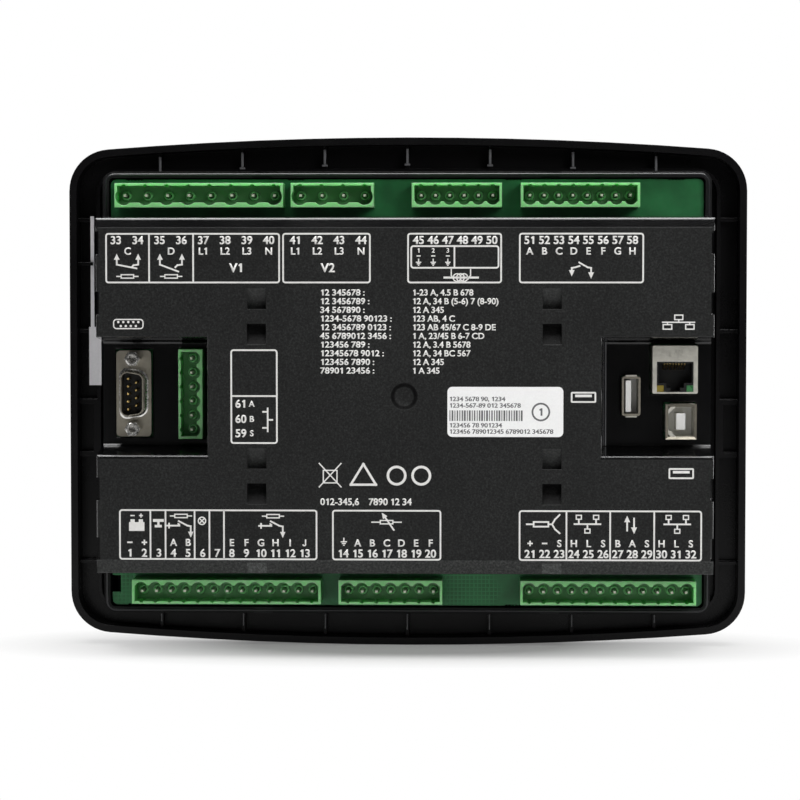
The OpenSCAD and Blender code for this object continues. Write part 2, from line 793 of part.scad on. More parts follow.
module device_shell() {
  color([0.78, 0.78, 0.78]) at([-device_x, -device_z]) difference() {
    slab(board_y, port_y) polygon(device_outline(0));
    slab(board_y - 1, port_y + 1) polygon(device_outline(0.9));
  }
}

module device_tongue() {
  color([0.9, 0.9, 0.88]) at([-device_x, -device_z]) {
    slab(board_y, board_y + port_base) polygon(device_outline(0.9 + fit));
    block([-device_tongue_w / 2, device_tongue_w / 2], [board_y, port_y - tongue_drop],
      [-device_tongue_l / 2, device_tongue_l / 2]);
  }
}

// network port: a metal can over a black insert with the plug's mouth, eight contacts and two lamps
lan_w = 16;
lan_l = 17;
lan_band = 5.7;
lan_mouth_w = 12.9;
lan_mouth_l = 10.7;
lan_plug_w = 11.8;
lan_plug_l = 6.9;
lan_plug_top = 0.6;
lan_latch_w = 6.2;
lan_latch_l = 1.7;
lan_keyway_w = 3.4;
lan_keyway_l = 1.2;
lan_bed = 3;
lan_lamp_w = 2.4;
lan_lamp_l = 2.2;
lan_contact_pitch = 1.02;
lan_contact_w = 0.4;
lan_top = lan_l / 2 - lan_band;
lan_plug_z = lan_top - lan_plug_top;
lan_latch_z = lan_plug_z - lan_plug_l;
lan_lamp_x = lan_mouth_w / 2 - lan_lamp_w / 2;
lan_lamp_z = lan_top - lan_mouth_l + lan_lamp_l / 2 + 0.1;

module in_lan() {
  at([-lan_x, lan_z]) children();
}

module lan_shield() {
  color([0.8, 0.8, 0.8]) in_lan() difference() {
    slab(board_y, port_y) polygon(round_rect(lan_w, lan_l, 0.6));
    slab(board_y - 1, port_y - port_sheet)
      square([lan_w - 2 * port_sheet, lan_l - 2 * port_sheet], center = true);
    block([-lan_mouth_w / 2, lan_mouth_w / 2], [board_y, port_y + 1], [lan_top - lan_mouth_l, lan_top]);
  }
}

module lan_lamp_place(s) {
  at([s * lan_lamp_x, lan_lamp_z]) children();
}

module lan_insert() {
  face = port_y - port_sheet;
  gap = 2 * (port_sheet + fit);
  color([0.05, 0.05, 0.05]) in_lan() difference() {
    slab(board_y, face) square([lan_w - gap, lan_l - gap], center = true);
    block([-lan_plug_w / 2, lan_plug_w / 2], [board_y + lan_bed, face + 1], [lan_latch_z, lan_plug_z]);
    block([-lan_latch_w / 2, lan_latch_w / 2], [board_y + lan_bed, face + 1],
      [lan_latch_z - lan_latch_l, lan_plug_z]);
    block([-lan_keyway_w / 2, lan_keyway_w / 2], [board_y + lan_bed, face + 1],
      [lan_latch_z - lan_latch_l - lan_keyway_l, lan_plug_z]);
    for (s = [-1, 1]) lan_lamp_place(s)
      slab(face - 3, face + 1) square([lan_lamp_w + 2 * fit, lan_lamp_l + 2 * fit], center = true);
  }
}

module lan_contacts() {
  bed = board_y + lan_bed;
  color([0.85, 0.68, 0.3]) in_lan() for (i = [-3.5:3.5])
    translate([i * lan_contact_pitch, 0, lan_plug_z]) across(-lan_contact_w / 2, lan_contact_w / 2)
    polygon([[bed, 0], [bed, -2.6], [bed + 0.4, -2.6], [port_y - 3, -0.5], [port_y - 3, 0]]);
}

module lan_lamp(s) {
  in_lan() lan_lamp_place(s)
    slab(port_y - port_sheet - 3, port_y - 0.1) square([lan_lamp_w, lan_lamp_l], center = true);
}

module lan_lamp_yellow() {
  color([0.85, 0.7, 0.1]) lan_lamp(1);
}

module lan_lamp_green() {
  color([0.15, 0.6, 0.2]) lan_lamp(-1);
}

// parts on the main board inside the case
relay_size = [15, 15.5, 19];
relay_x = [14, 31, -31, -14];
relay_inset = 16.2;
relay_z = body_z - relay_inset;
ct_r = 6.5;
ct_bore_r = 3;
ct_h = 9;
ct_floor = 1;
ct_first = 48;
ct_insets = [24.9, 10.9];
ct_x = concat(ct_first, [for (inset = ct_insets) base_x - inset]);
capacitor_r = 5;
capacitor_h = 16;
capacitor_x = [40, 28, 16];
capacitor_z = -relay_z;
chip_s = 20;
chip_t = 1.6;
cell_r = 10;
cell_h = 3.2;
cell_x = -30;
cell_z = -20;

module relays() {
  color([0.1, 0.16, 0.3]) for (x = relay_x)
    block([x - relay_size[0] / 2, x + relay_size[0] / 2], [board_y, board_y + relay_size[1]],
      [relay_z - relay_size[2] / 2, relay_z + relay_size[2] / 2]);
}

module current_transformers() {
  color([0.12, 0.12, 0.13]) for (x = ct_x) at([x, relay_z]) difference() {
    rod(ct_r, board_y, board_y + ct_h);
    rod(ct_bore_r, board_y + ct_floor, board_y + ct_h + ct_floor);
  }
}

module capacitors() {
  color([0.15, 0.17, 0.3]) for (x = capacitor_x)
    at([x, capacitor_z]) rod(capacitor_r, board_y, board_y + capacitor_h);
}

module processor() {
  color([0.06, 0.06, 0.06]) slab(board_y, board_y + chip_t) square(chip_s, center = true);
}

module coin_cell() {
  color([0.75, 0.75, 0.75]) at([cell_x, cell_z]) rod(cell_r, board_y, board_y + cell_h);
}

// the raised body: a bevelled section drawn along X, cut by a drafted plan drawn along Z
module body_form() {
  low = body_z + body_draft;
  shoulder = rear_depth - bevel_depth;
  intersection() {
    across(-case_w, case_w) polygon(rounded(
      [[board_y, -low], [shoulder, -body_z], [rear_depth, bevel_low - body_z],
      [rear_depth, body_z - bevel_up], [shoulder, body_z], [board_y, low]],
      [0, edge_r, edge_r, edge_r, edge_r, 0]));
    upright(-case_h, case_h) polygon(rounded(
      [[-base_x, board_y], [base_x, board_y], [body_x, rear_depth], [-body_x, rear_depth]],
      [0, 0, edge_r, edge_r]));
  }
}

module body_hollow() {
  low = body_z + body_draft - case_wall;
  top = rear_depth - rear_wall;
  intersection() {
    across(-case_w, case_w) polygon([[board_y - 1, -low], [top, case_wall + 1 - body_z],
      [top, body_z - case_wall - 1], [board_y - 1, low]]);
    upright(-case_h, case_h) polygon([[side_wall - base_x, board_y - 1], [base_x - side_wall, board_y - 1],
      [body_x - side_wall, top], [side_wall - body_x, top]]);
  }
}

// the space of one side recess, flared where it meets the rear face
module recess_cut() {
  end = fascia_w / 2;
  lift = rear_depth + run;
  spread = recess_top + run;
  intersection() {
    across(recess_x - 2 * run, end) polygon(rounded(
      [[floor_y, -recess_low], [rear_depth, -recess_top], [rear_depth + bond, -spread], [lift, -spread],
      [lift, spread], [rear_depth + bond, spread], [rear_depth, recess_top], [floor_y, recess_low]],
      [edge_r, edge_r, 0, 0, 0, 0, edge_r, edge_r]));
    upright(-2 * recess_top, 2 * recess_top) polygon(rounded(
      [[recess_x + recess_flare, floor_y], [end, floor_y], [end, lift], [recess_x - run, lift],
      [recess_x - run, rear_depth + bond], [recess_x, rear_depth]],
      [edge_r, 0, 0, 0, 0, edge_r]));
  }
}

module recess_walls() {
  low = recess_low + case_wall;
  top = recess_top + case_wall;
  bed = floor_y - floor_t;
  across(recess_x - case_wall, case_w / 2 + 1)
    polygon([[bed, -low], [rear_depth, -top], [rear_depth, top], [bed, low]]);
}

// a cable tie anchor: two ramps that meet in a tunnel under a bridge
module tie_space() {
  half = tie_bridge / 2;
  end = half + tie_ramp;
  deep = rear_depth - tie_depth;
  under = rear_depth - tie_bridge_t;
  across(-tie_w / 2, tie_w / 2) polygon([[rear_depth + 1, -end], [rear_depth, -end], [deep, -half],
    [deep, half], [rear_depth, end], [rear_depth + 1, end], [rear_depth + 1, half], [under, half],
    [under, -half], [rear_depth + 1, -half]]);
}

module tie_block() {
  wide = tie_w / 2 + case_wall;
  tall = tie_bridge / 2 + tie_ramp + 1;
  block([-wide, wide], [rear_depth - tie_depth - floor_t, rear_depth - 1], [-tall, tall]);
}

module at_ties() {
  for (x = [-tie_x, tie_x], z = [-tie_z, tie_z]) at([x, z]) children();
}

// the spigot wall round both troughs
module spigot() {
  slab(inner_y, board_y + lip_h) difference() {
    polygon(round_rect(case_w, case_h, spigot_r));
    polygon(round_rect(case_w - 2 * case_wall, case_h - 2 * case_wall, spigot_r - case_wall));
  }
}

module port_windows() {
  y = [floor_y - floor_t - 1, floor_y + 1];
  gap = 2 * port_gap;
  at([serial_x, 0]) slab(y[0], y[1]) square([serial_flange_w + gap, serial_flange_l + gap], center = true);
  at([side_x, 0]) slab(y[0], y[1])
    square([socket_w + gap, (side_poles - 1) * small_pitch + 2 * socket_end + gap], center = true);
  at([-host_x, host_z]) slab(y[0], y[1])
    square([host_w, host_l] + 2 * (port_gap - port_lip) * [1, 1], center = true);
  at([-device_x, -device_z]) slab(y[0], y[1]) square([device_w + gap, device_l + gap], center = true);
  in_lan() slab(y[0], y[1]) square([lan_w + gap, lan_l + gap], center = true);
}

module clip_slot_set() {
  for (s = [0, 1], z = clip_slots) mirror([s, 0, 0])
    block([body_x - clip_slot_depth, fascia_w / 2], [rear_depth - clip_slot_l, rear_depth + 1],
      [z - clip_slot_w / 2, z + clip_slot_w / 2]);
}

module rear_case() {
  ball = (dimple_r * dimple_r + dimple_depth * dimple_depth) / (2 * dimple_depth);
  x = case_w / 2;
  color([0.06, 0.06, 0.065]) difference() {
    union() {
      difference() {
        body_form();
        difference() {
          body_hollow();
          for (s = [0, 1]) mirror([s, 0, 0]) recess_walls();
          at_ties() tie_block();
        }
      }
      spigot();
    }
    for (s = [0, 1]) mirror([s, 0, 0]) recess_cut();
    at_ties() tie_space();
    port_windows();
    clip_slot_set();
    translate([0, rear_depth - dimple_depth + ball, 0]) sphere(r = ball, $fn = 96);
    for (s = [0, 1], z = tab_places) mirror([s, 0, 0])
      block([x - case_wall - 1, x + 1], [barb_y[0] - tab_gap, barb_y[1] + tab_gap],
        [z - tab_w / 2 - tab_gap, z + tab_w / 2 + tab_gap]);
  }
}

module rating_label() {
  w = label_x[1] - label_x[0];
  h = label_z[1] - label_z[0];
  color([0.93, 0.93, 0.92]) at([(label_x[0] + label_x[1]) / 2, (label_z[0] + label_z[1]) / 2])
    slab(rear_depth, rear_depth + label_t) polygon(round_rect(w, h, 1.7));
}

// a slip-in card that lies on the ring and the side ribs under its hook
module legend_card() {
  color([0.93, 0.93, 0.9]) block([ring_x - ring_t, ring_x + card_out], [ring_y, ring_y + card_t], card_z);
}

front_fascia();
display_window();
display_frame();
display_glass();
display_board();
key_switches();
indicator_lamps();
key_stop();
key_manual();
key_test();
key_auto();
key_mute();
key_start();
key_up();
key_down();
key_left();
key_right();
key_enter();
main_board();
board_link();
board_spacers();
board_screws();
socket_top_1();
socket_top_2();
socket_top_3();
socket_top_4();
socket_bottom_1();
socket_bottom_2();
socket_bottom_3();
socket_side();
pins_top();
pins_bottom();
pins_side();
serial_shell();
serial_insert();
serial_pins();
serial_jackscrews();
host_shell();
host_tongue();
device_shell();
device_tongue();
lan_shield();
lan_insert();
lan_contacts();
lan_lamp_yellow();
lan_lamp_green();
relays();
current_transformers();
capacitors();
processor();
coin_cell();
rear_case();
rating_label();
legend_card();
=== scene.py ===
import json
import math
import bmesh
import bpy
from mathutils import Matrix, Vector


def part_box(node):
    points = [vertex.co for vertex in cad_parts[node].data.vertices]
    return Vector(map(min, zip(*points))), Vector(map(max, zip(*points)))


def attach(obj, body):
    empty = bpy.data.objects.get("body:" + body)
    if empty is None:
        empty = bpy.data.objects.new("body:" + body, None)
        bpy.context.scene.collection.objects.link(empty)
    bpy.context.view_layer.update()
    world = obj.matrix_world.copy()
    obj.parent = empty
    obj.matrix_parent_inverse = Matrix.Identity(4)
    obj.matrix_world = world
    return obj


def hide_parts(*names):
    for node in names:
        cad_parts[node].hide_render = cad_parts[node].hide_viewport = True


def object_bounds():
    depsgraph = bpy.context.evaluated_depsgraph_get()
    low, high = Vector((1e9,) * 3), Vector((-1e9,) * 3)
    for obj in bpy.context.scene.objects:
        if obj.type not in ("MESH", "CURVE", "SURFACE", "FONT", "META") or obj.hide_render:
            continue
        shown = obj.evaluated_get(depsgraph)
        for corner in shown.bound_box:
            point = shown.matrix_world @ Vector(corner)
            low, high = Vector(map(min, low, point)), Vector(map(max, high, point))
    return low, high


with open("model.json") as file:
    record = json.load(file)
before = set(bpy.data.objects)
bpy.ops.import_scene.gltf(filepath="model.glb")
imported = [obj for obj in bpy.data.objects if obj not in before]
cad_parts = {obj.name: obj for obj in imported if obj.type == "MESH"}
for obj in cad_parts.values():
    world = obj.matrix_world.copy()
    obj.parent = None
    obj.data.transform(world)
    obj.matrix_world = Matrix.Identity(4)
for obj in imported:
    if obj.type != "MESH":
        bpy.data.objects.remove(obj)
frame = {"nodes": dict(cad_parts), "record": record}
nodes = frame["nodes"]
cadLow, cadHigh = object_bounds()
scene = bpy.context.scene
mm = 0.001
print("frame loaded:", len(nodes), "nodes")


# node trees: values are set on their sockets, and what is a socket is linked
def setInputs(tree, node, inputs):
    for key, value in inputs.items():
        if isinstance(value, bpy.types.NodeSocket):
            tree.links.new(value, node.inputs[key])
        else:
            node.inputs[key].default_value = value


def addNode(tree, kind, inputs=None, **settings):
    node = tree.nodes.new(kind)
    for key, value in settings.items():
        setattr(node, key, value)
    setInputs(tree, node, inputs or {})
    return node


def startMaterial(name):
    material = bpy.data.materials.new(name)
    material.use_nodes = True
    tree = material.node_tree
    place = addNode(tree, "ShaderNodeTexCoord").outputs["Object"]
    return material, tree, tree.nodes["Principled BSDF"], place


def noise(tree, place, scale, detail=2.0, rough=0.5):
    return addNode(tree, "ShaderNodeTexNoise",
                   {"Vector": place, "Scale": scale, "Detail": detail, "Roughness": rough}).outputs["Fac"]


def stretched(tree, place, scale):
    return addNode(tree, "ShaderNodeMapping", {"Vector": place, "Scale": scale}).outputs["Vector"]


def turned(tree, place, *angles):
    return addNode(tree, "ShaderNodeMapping", {"Vector": place, "Rotation": angles}).outputs["Vector"]


def tones(tree, fac, stops):
    ramp = addNode(tree, "ShaderNodeValToRGB", {"Fac": fac})
    elements = ramp.color_ramp.elements
    elements[0].position, elements[1].position = stops[0][0], stops[-1][0]
    elements[0].color, elements[1].color = (*stops[0][1], 1), (*stops[-1][1], 1)
    for position, colour in stops[1:-1]:
        elements.new(position).color = (*colour, 1)
    return ramp.outputs["Color"]


def spread(tree, fac, low, high, source=(0.3, 0.7)):
    return addNode(tree, "ShaderNodeMapRange", {"Value": fac, "From Min": source[0], "From Max": source[1],
                                                "To Min": low, "To Max": high}).outputs["Result"]


def relief(tree, shader, height, depth, edge=0.0):
    bump = addNode(tree, "ShaderNodeBump", {"Height": height, "Distance": depth})
    if edge > 0:  # broken edges catch the light
        soft = addNode(tree, "ShaderNodeBevel", {"Radius": edge * mm}, samples=4)
        tree.links.new(soft.outputs["Normal"], bump.inputs["Normal"])
    tree.links.new(bump.outputs["Normal"], shader.inputs["Normal"])


def darker(colour, share):
    return tuple(c * share for c in colour)


def mottle(tree, fac, colour, share, high=0.7):
    return tones(tree, fac, [(0.3, darker(colour, share)), (high, colour)])


def reachOf(tree, vector):
    return addNode(tree, "ShaderNodeVectorMath", {0: vector}, operation="LENGTH").outputs["Value"]


def calc(tree, operation, first, second=0.0):
    return addNode(tree, "ShaderNodeMath", {0: first, 1: second}, operation=operation).outputs["Value"]


def times(tree, first, second):
    return calc(tree, "MULTIPLY", first, second)


def above(tree, value, limit):
    return calc(tree, "GREATER_THAN", value, limit)


def below(tree, value, limit):
    return calc(tree, "LESS_THAN", value, limit)


def near(tree, value, middle, reach):
    return below(tree, calc(tree, "ABSOLUTE", calc(tree, "SUBTRACT", value, middle)), reach)


def mixTones(tree, factor, first, second, blend="MIX"):
    return addNode(tree, "ShaderNodeMix", {"Factor": factor, "A": first, "B": second}, data_type="RGBA",
                   blend_type=blend).outputs["Result"]


# spark-eroded moulding: fine grain, cloudy gloss and a little dust in the tone
def mouldedPlastic(name, colour, rough, specular=0.5, grain=1900, depth=0.012, vary=0.2, edge=0.25):
    material, tree, shader, place = startMaterial(name)
    cloud = noise(tree, place, 38, 5, 0.6)
    speck = noise(tree, place, grain, 3, 0.7)
    mixed = addNode(tree, "ShaderNodeMix", {"Factor": 0.35, "A": cloud, "B": speck}).outputs["Result"]
    base = tones(tree, mixed, [(0.32, darker(colour, 1 - vary)), (0.52, colour),
                               (0.72, darker(colour, 1 + vary))])
    setInputs(tree, shader, {"Base Color": base, "Roughness": spread(tree, mixed, rough - 0.06, rough + 0.06),
                             "Specular IOR Level": specular})
    relief(tree, shader, speck, depth * mm, edge)
    return material


# rear case: spark-eroded grain on the rear face, low bevel and tie anchors, polish elsewhere; painted light
# on the low bevel and upper anchor ramps, painted shade on the lower ramps and round the gate dimple
def caseMoulding(name, look):
    material, tree, shader, place = startMaterial(name)
    axis = addNode(tree, "ShaderNodeSeparateXYZ", {"Vector": place}).outputs
    outX, outZ = calc(tree, "ABSOLUTE", axis["X"]), calc(tree, "ABSOLUTE", axis["Z"])
    face = above(tree, axis["Y"], look["grainFrom"] * mm)
    low = below(tree, axis["Z"], look["lowBevel"] * mm)
    bevel = times(tree, low, above(tree, axis["Y"], look["bevelFrom"] * mm))
    reachX, reachZ = (size * mm for size in look["anchorReach"])
    middle = times(tree, below(tree, outX, reachX), below(tree, outZ, reachZ))
    eroded = calc(tree, "MAXIMUM", calc(tree, "MAXIMUM", face, bevel), middle)
    lip = below(tree, axis["Y"], look["lipTo"] * mm)
    # the rounded lower edge of each side recess is polished too
    sillFrom, sillZ, sillHalf = (size * mm for size in look["sill"])
    sill = times(tree, near(tree, axis["Z"], sillZ, sillHalf), above(tree, outX, sillFrom))
    grain = calc(tree, "MAXIMUM", calc(tree, "SUBTRACT", calc(tree, "MAXIMUM", eroded, lip), sill))
    # painted light on the upper ramps and painted shade on the lower ramps of the tie anchors, and painted
    # shade round the rim of the gate dimple
    tieX, tieZ, halfWidth, halfBridge, rampEnd = (size * mm for size in look["anchor"])
    step = calc(tree, "FLOORED_MODULO", calc(tree, "ADD", axis["Z"], tieZ + rampEnd), 2 * tieZ)
    pocket = times(tree, near(tree, outX, tieX, halfWidth), calc(tree, "SUBTRACT", 1.0, face))
    shadedLowRamp = times(tree, pocket, below(tree, step, rampEnd - halfBridge))
    litHighRamp = times(tree, pocket, above(tree, step, rampEnd + halfBridge))
    # painted shade: a dark ring round the rim of the gate dimple, in tone and gloss
    fromGate = reachOf(tree, stretched(tree, place, (1, 0, 1)))
    rimRadius, rimCore, rimReach = (size * mm for size in look["shadedGateRim"])
    fromRim = calc(tree, "ABSOLUTE", calc(tree, "SUBTRACT", fromGate, rimRadius))
    shadedGateRim = spread(tree, fromRim, look["gateRingPaintedShade"], 0.0, (rimCore, rimReach))
    drop = calc(tree, "MAXIMUM", shadedGateRim, times(tree, shadedLowRamp, look["rampPaintedShade"]))
    lift = calc(tree, "ADD", 1.0, times(tree, litHighRamp, look["rampPaintedLight"]))
    paintedLightGain = calc(tree, "SUBTRACT", lift, drop)
    # grained surface
    cloud = noise(tree, place, 30, 5, 0.6)
    speck = noise(tree, place, look["speck"], 3, 0.75)
    mixed = addNode(tree, "ShaderNodeMix", {"Factor": 0.82, "A": cloud, "B": speck}).outputs["Result"]
    # the paler copy of the grain tones is painted light on the low bevel
    grey, paintedLitTone = (tones(tree, mixed, [(stop, darker(look["eroded"], share * level))
                                      for stop, share in look["grainTones"]])
                  for level in (1.0, look["bevelPaintedLight"]))
    faces = mixTones(tree, 1.0, mixTones(tree, bevel, grey, paintedLitTone), paintedLightGain, "MULTIPLY")
    # the painted light and shade scale the gloss as well as the tone
    rough = addNode(tree, "ShaderNodeBsdfPrincipled", {
        "Base Color": mixTones(tree, lip, faces, (*look["lip"], 1)),
        "Roughness": spread(tree, mixed, 0.5, 0.62),
        "Specular IOR Level": times(tree, paintedLightGain, look["sheenless"])})
    relief(tree, rough, speck, look["depth"] * mm, look["edge"])
    # polished surface
    setInputs(tree, shader, {
        "Base Color": mottle(tree, cloud, look["polished"], 0.8), "Roughness": spread(tree, cloud, 0.1, 0.16),
        "Specular IOR Level": look["gloss"]})
    relief(tree, shader, cloud, 0.002 * mm, look["polishEdge"])
    blend = addNode(tree, "ShaderNodeMixShader", {0: grain, 1: shader.outputs["BSDF"],
                                                  2: rough.outputs["BSDF"]})
    tree.links.new(blend.outputs["Shader"], tree.nodes["Material Output"].inputs["Surface"])
    return material


# terminal sockets: painted shade darker towards the bed, painted light paler at the rims
def socketMoulding(name, look):
    material, tree, shader, place = startMaterial(name)
    axis = addNode(tree, "ShaderNodeSeparateXYZ", {"Vector": place}).outputs
    depth = spread(tree, axis["Y"], 0, 1, (look["bed"] * mm, look["rim"] * mm))
    cloud = noise(tree, place, 160, 4, 0.6)
    shade = tones(tree, depth, [(0.0, look["deep"]), (0.9, look["wall"]), (1.0, look["paintedLitTone"])])
    vary = tones(tree, cloud, [(0.3, (0.85, 0.85, 0.85)), (0.7, (1, 1, 1))])
    setInputs(tree, shader, {
        "Base Color": mixTones(tree, 1.0, shade, vary, "MULTIPLY"),
        "Roughness": spread(tree, cloud, 0.3, 0.4),
        "Specular IOR Level": look["specular"], "Subsurface Weight": look["glow"],
        "Subsurface Radius": look["glowReach"], "Subsurface Scale": look["glowDepth"] * mm})
    relief(tree, shader, cloud, 0.004 * mm, look["edge"])
    return material


# metals: a tarnish cloud in the tone and fine drawn streaks in gloss and relief
def workedMetal(name, colour, rough, streak=(1400, 1400, 1400), tarnish=0.2, depth=0.0012, edge=0.15):
    material, tree, shader, place = startMaterial(name)
    cloud = noise(tree, place, 260, 4, 0.6)
    lines = noise(tree, stretched(tree, place, streak), 1.0, 3, 0.6)
    setInputs(tree, shader, {
        "Base Color": mottle(tree, cloud, colour, 1 - tarnish, 0.65), "Metallic": 1.0,
        "Roughness": spread(tree, lines, rough - 0.08, rough + 0.1)})
    relief(tree, shader, lines, depth * mm, edge)
    return material


# laminate with a few tracks in two directions under a glossy mask
def circuitBoard(name, look):
    material, tree, shader, place = startMaterial(name)
    upright = turned(tree, place, math.pi / 2, 0, 0)
    sideways = turned(tree, place, math.pi / 2, 0, math.pi / 2)
    runs = [addNode(tree, "ShaderNodeTexBrick", {
        "Vector": vector, "Scale": look["trackScale"],
        "Mortar Size": look["trackWidth"], "Mortar Smooth": 0.15,
        "Brick Width": width, "Row Height": 0.3, "Color1": (0, 0, 0, 1), "Color2": (0, 0, 0, 1),
        "Mortar": (1, 1, 1, 1)}, offset=0.37, squash=0.7).outputs["Fac"]
        for vector, width in zip((upright, sideways), look["trackRuns"])]
    tracks = calc(tree, "MAXIMUM", *runs)
    patch = tones(tree, noise(tree, place, 30, 2), [(0.55, (0, 0, 0)), (0.6, (1, 1, 1))])
    shown = times(tree, tracks, patch)
    mask = mottle(tree, noise(tree, place, 90, 4), look["mask"], 0.6, 0.65)
    setInputs(tree, shader, {
        "Base Color": mixTones(tree, shown, mask, (*look["track"], 1)), "Specular IOR Level": 0.3,
        "Roughness": spread(tree, noise(tree, place, 700, 2), 0.3, 0.42)})
    relief(tree, shader, shown, 0.01 * mm)
    return material


# clear or tinted mouldings: lamps, lens
def clearMoulding(name, colour, rough, transmission, vary=0.15):
    material, tree, shader, place = startMaterial(name)
    cloud = noise(tree, place, 420, 3)
    setInputs(tree, shader, {
        "Base Color": mottle(tree, cloud, colour, 1 - vary),
        "Roughness": spread(tree, cloud, rough, rough + 0.06),
        "Transmission Weight": transmission, "IOR": 1.49})
    relief(tree, shader, cloud, 0.002 * mm)
    return material


# liquid crystal screen at rest: a faint dot grid behind grey-green glass
def restingScreen(name, look):
    material, tree, shader, place = startMaterial(name)
    upright = turned(tree, place, math.pi / 2, 0, 0)
    grid = addNode(tree, "ShaderNodeTexBrick", {
        "Vector": upright, "Scale": 1 / (look["dot"] * mm), "Mortar Size": 0.06,
        "Brick Width": 1.0, "Row Height": 1.0, "Mortar": (*look["gapTone"], 1),
        "Color1": (*look["dotTone"], 1), "Color2": (*look["dotTone"], 1)},
        offset=0.0, squash=1.0).outputs["Color"]
    glow = tones(tree, noise(tree, place, 9, 2), [(0.3, (0.88, 0.88, 0.88)), (0.7, (1, 1, 1))])
    setInputs(tree, shader, {"Base Color": mixTones(tree, 1.0, grid, glow, "MULTIPLY"),
                             "Roughness": spread(tree, noise(tree, place, 60, 3), 0.12, 0.2)})
    return material


# printed film and paper: fibres in tone and gloss
def printedFilm(name, colour, rough, fibre=1500, vary=0.06):
    material, tree, shader, place = startMaterial(name)
    fibres = noise(tree, place, fibre, 4, 0.65)
    setInputs(tree, shader, {"Base Color": mottle(tree, fibres, colour, 1 - vary),
                             "Roughness": spread(tree, fibres, rough - 0.05, rough + 0.08)})
    relief(tree, shader, fibres, 0.003 * mm)
    return material


finishes = {
    "case_plastic": caseMoulding("caseMoulding", {
        "eroded": (0.0105, 0.011, 0.0108), "grainTones": ((0.34, 0.4), (0.5, 1.0), (0.68, 2.4)),
        # the low bevel's paler tone is painted light
        "speck": 1400, "depth": 0.04, "edge": 0.3, "sheenless": 0.14, "bevelPaintedLight": 2.7,
        "lip": (0.003, 0.003, 0.0032), "polished": (0.003, 0.003, 0.0033), "gloss": 0.5, "polishEdge": 0.8,
        # zones in mm: sill from, height, half; anchor place, half width, half bridge, ramp end; rim of the
        # painted shade round the gate
        "grainFrom": 37.9, "bevelFrom": 36.2, "lowBevel": -57.2, "lipTo": 11.2, "sill": (68.4, -21.2, 0.65),
        # the anchor ramps carry painted shade below and painted light above
        "anchorReach": (60, 50), "anchor": (51.5, 27.9, 3.4, 2.55, 9.95), "rampPaintedShade": 0.62, "rampPaintedLight": 0.7,
        "shadedGateRim": (4.0, 0.4, 0.9), "gateRingPaintedShade": 0.72}),
    "fascia_plastic": mouldedPlastic("fasciaMoulding", (0.004, 0.0037, 0.0042), 0.3, 0.14, edge=0.35),
    "black_plastic": mouldedPlastic("blackInsert", (0.006, 0.006, 0.006), 0.45, 0.3),
    "socket_green": socketMoulding("socketMoulding", {
        # painted shade deep in the bed and painted light at the rims
        "deep": (0.12, 0.37, 0.13), "wall": (0.16, 0.48, 0.17), "paintedLitTone": (0.33, 0.83, 0.33),
        "bed": 11.0, "rim": 20.3, "edge": 0.2, "specular": 0.25, "glow": 0.6,
        "glowReach": (0.3, 1.0, 0.35), "glowDepth": 4.0}),
    "white_plastic": mouldedPlastic("whiteTongue", (0.88, 0.88, 0.86), 0.4, depth=0.004, vary=0.05),
    "relay_blue": mouldedPlastic("relayCover", (0.02, 0.045, 0.12), 0.4),
    "capacitor_sleeve": mouldedPlastic("capacitorSleeve", (0.03, 0.035, 0.08), 0.35),
    "key_red": mouldedPlastic("redKey", (0.36, 0.016, 0.012), 0.45, vary=0.1),
    "key_green": mouldedPlastic("greenKey", (0.012, 0.16, 0.03), 0.45, vary=0.1),
    "key_grey": mouldedPlastic("greyKey", (0.05, 0.053, 0.056), 0.48, vary=0.12),
    "display_metal": workedMetal("displayBezel", (0.42, 0.43, 0.44), 0.38),
    "brass": workedMetal("turnedBrass", (0.6, 0.45, 0.18), 0.3),
    "zinc_steel": workedMetal("platedScrew", (0.66, 0.65, 0.62), 0.24),
    "tinned_pin": workedMetal("tinnedPin", (0.86, 0.84, 0.76), 0.5),
    "nickel_shell": workedMetal("nickelShell", (0.75, 0.73, 0.65), 0.38),
    "gold_contact": workedMetal("goldContact", (0.72, 0.52, 0.2), 0.28),
    "board_green": circuitBoard("boardLaminate", {
        "mask": (0.024, 0.19, 0.06), "track": (0.029, 0.215, 0.07), "trackScale": 210.0, "trackWidth": 0.035,
        "trackRuns": (3.1, 4.3)}),
    "clear_lens": clearMoulding("displayLens", (0.82, 0.86, 0.88), 0.05, 0.9, 0.03),
    "red_lamp": clearMoulding("redLamp", (0.6, 0.03, 0.02), 0.2, 0.35),
    "yellow_lamp": clearMoulding("yellowLamp", (0.36, 0.27, 0.03), 0.25, 0.3),
    "green_lamp": clearMoulding("greenLamp", (0.06, 0.27, 0.09), 0.25, 0.3),
    "display_glass": restingScreen("restingScreen", {
        "dot": 0.48, "dotTone": (0.2, 0.24, 0.2), "gapTone": (0.25, 0.29, 0.25)}),
    "label_white": printedFilm("labelFilm", (0.95, 0.95, 0.95), 0.4),
    "card_paper": printedFilm("cardPaper", (0.96, 0.945, 0.975), 0.5),
    # painted highlight: pale grey for the rib crests and the foot bead
    "rib_crest_painted_highlight": mouldedPlastic("ribCrestPaintedHighlight", (0.17, 0.17, 0.178), 0.4, 0.4, vary=0.3),
    # painted glint: near-white pin ends
    "pin_end_painted_glint": printedFilm("pinEndPaintedGlint", (0.9, 0.87, 0.76), 0.3, 1200, 0.15),
    "collar": mouldedPlastic("collarMoulding", (0.22, 0.66, 0.24), 0.3, 0.4, vary=0.15),
    # partly painted sheen: a tone lighter than the black lip
    "lip_crest_painted_sheen": mouldedPlastic("lipCrestPaintedSheen", (0.018, 0.018, 0.02), 0.22, 0.3, vary=0.3),
}
inkWhite = printedFilm("legendInk", (0.8, 0.79, 0.77), 0.55, 900, 0.1)
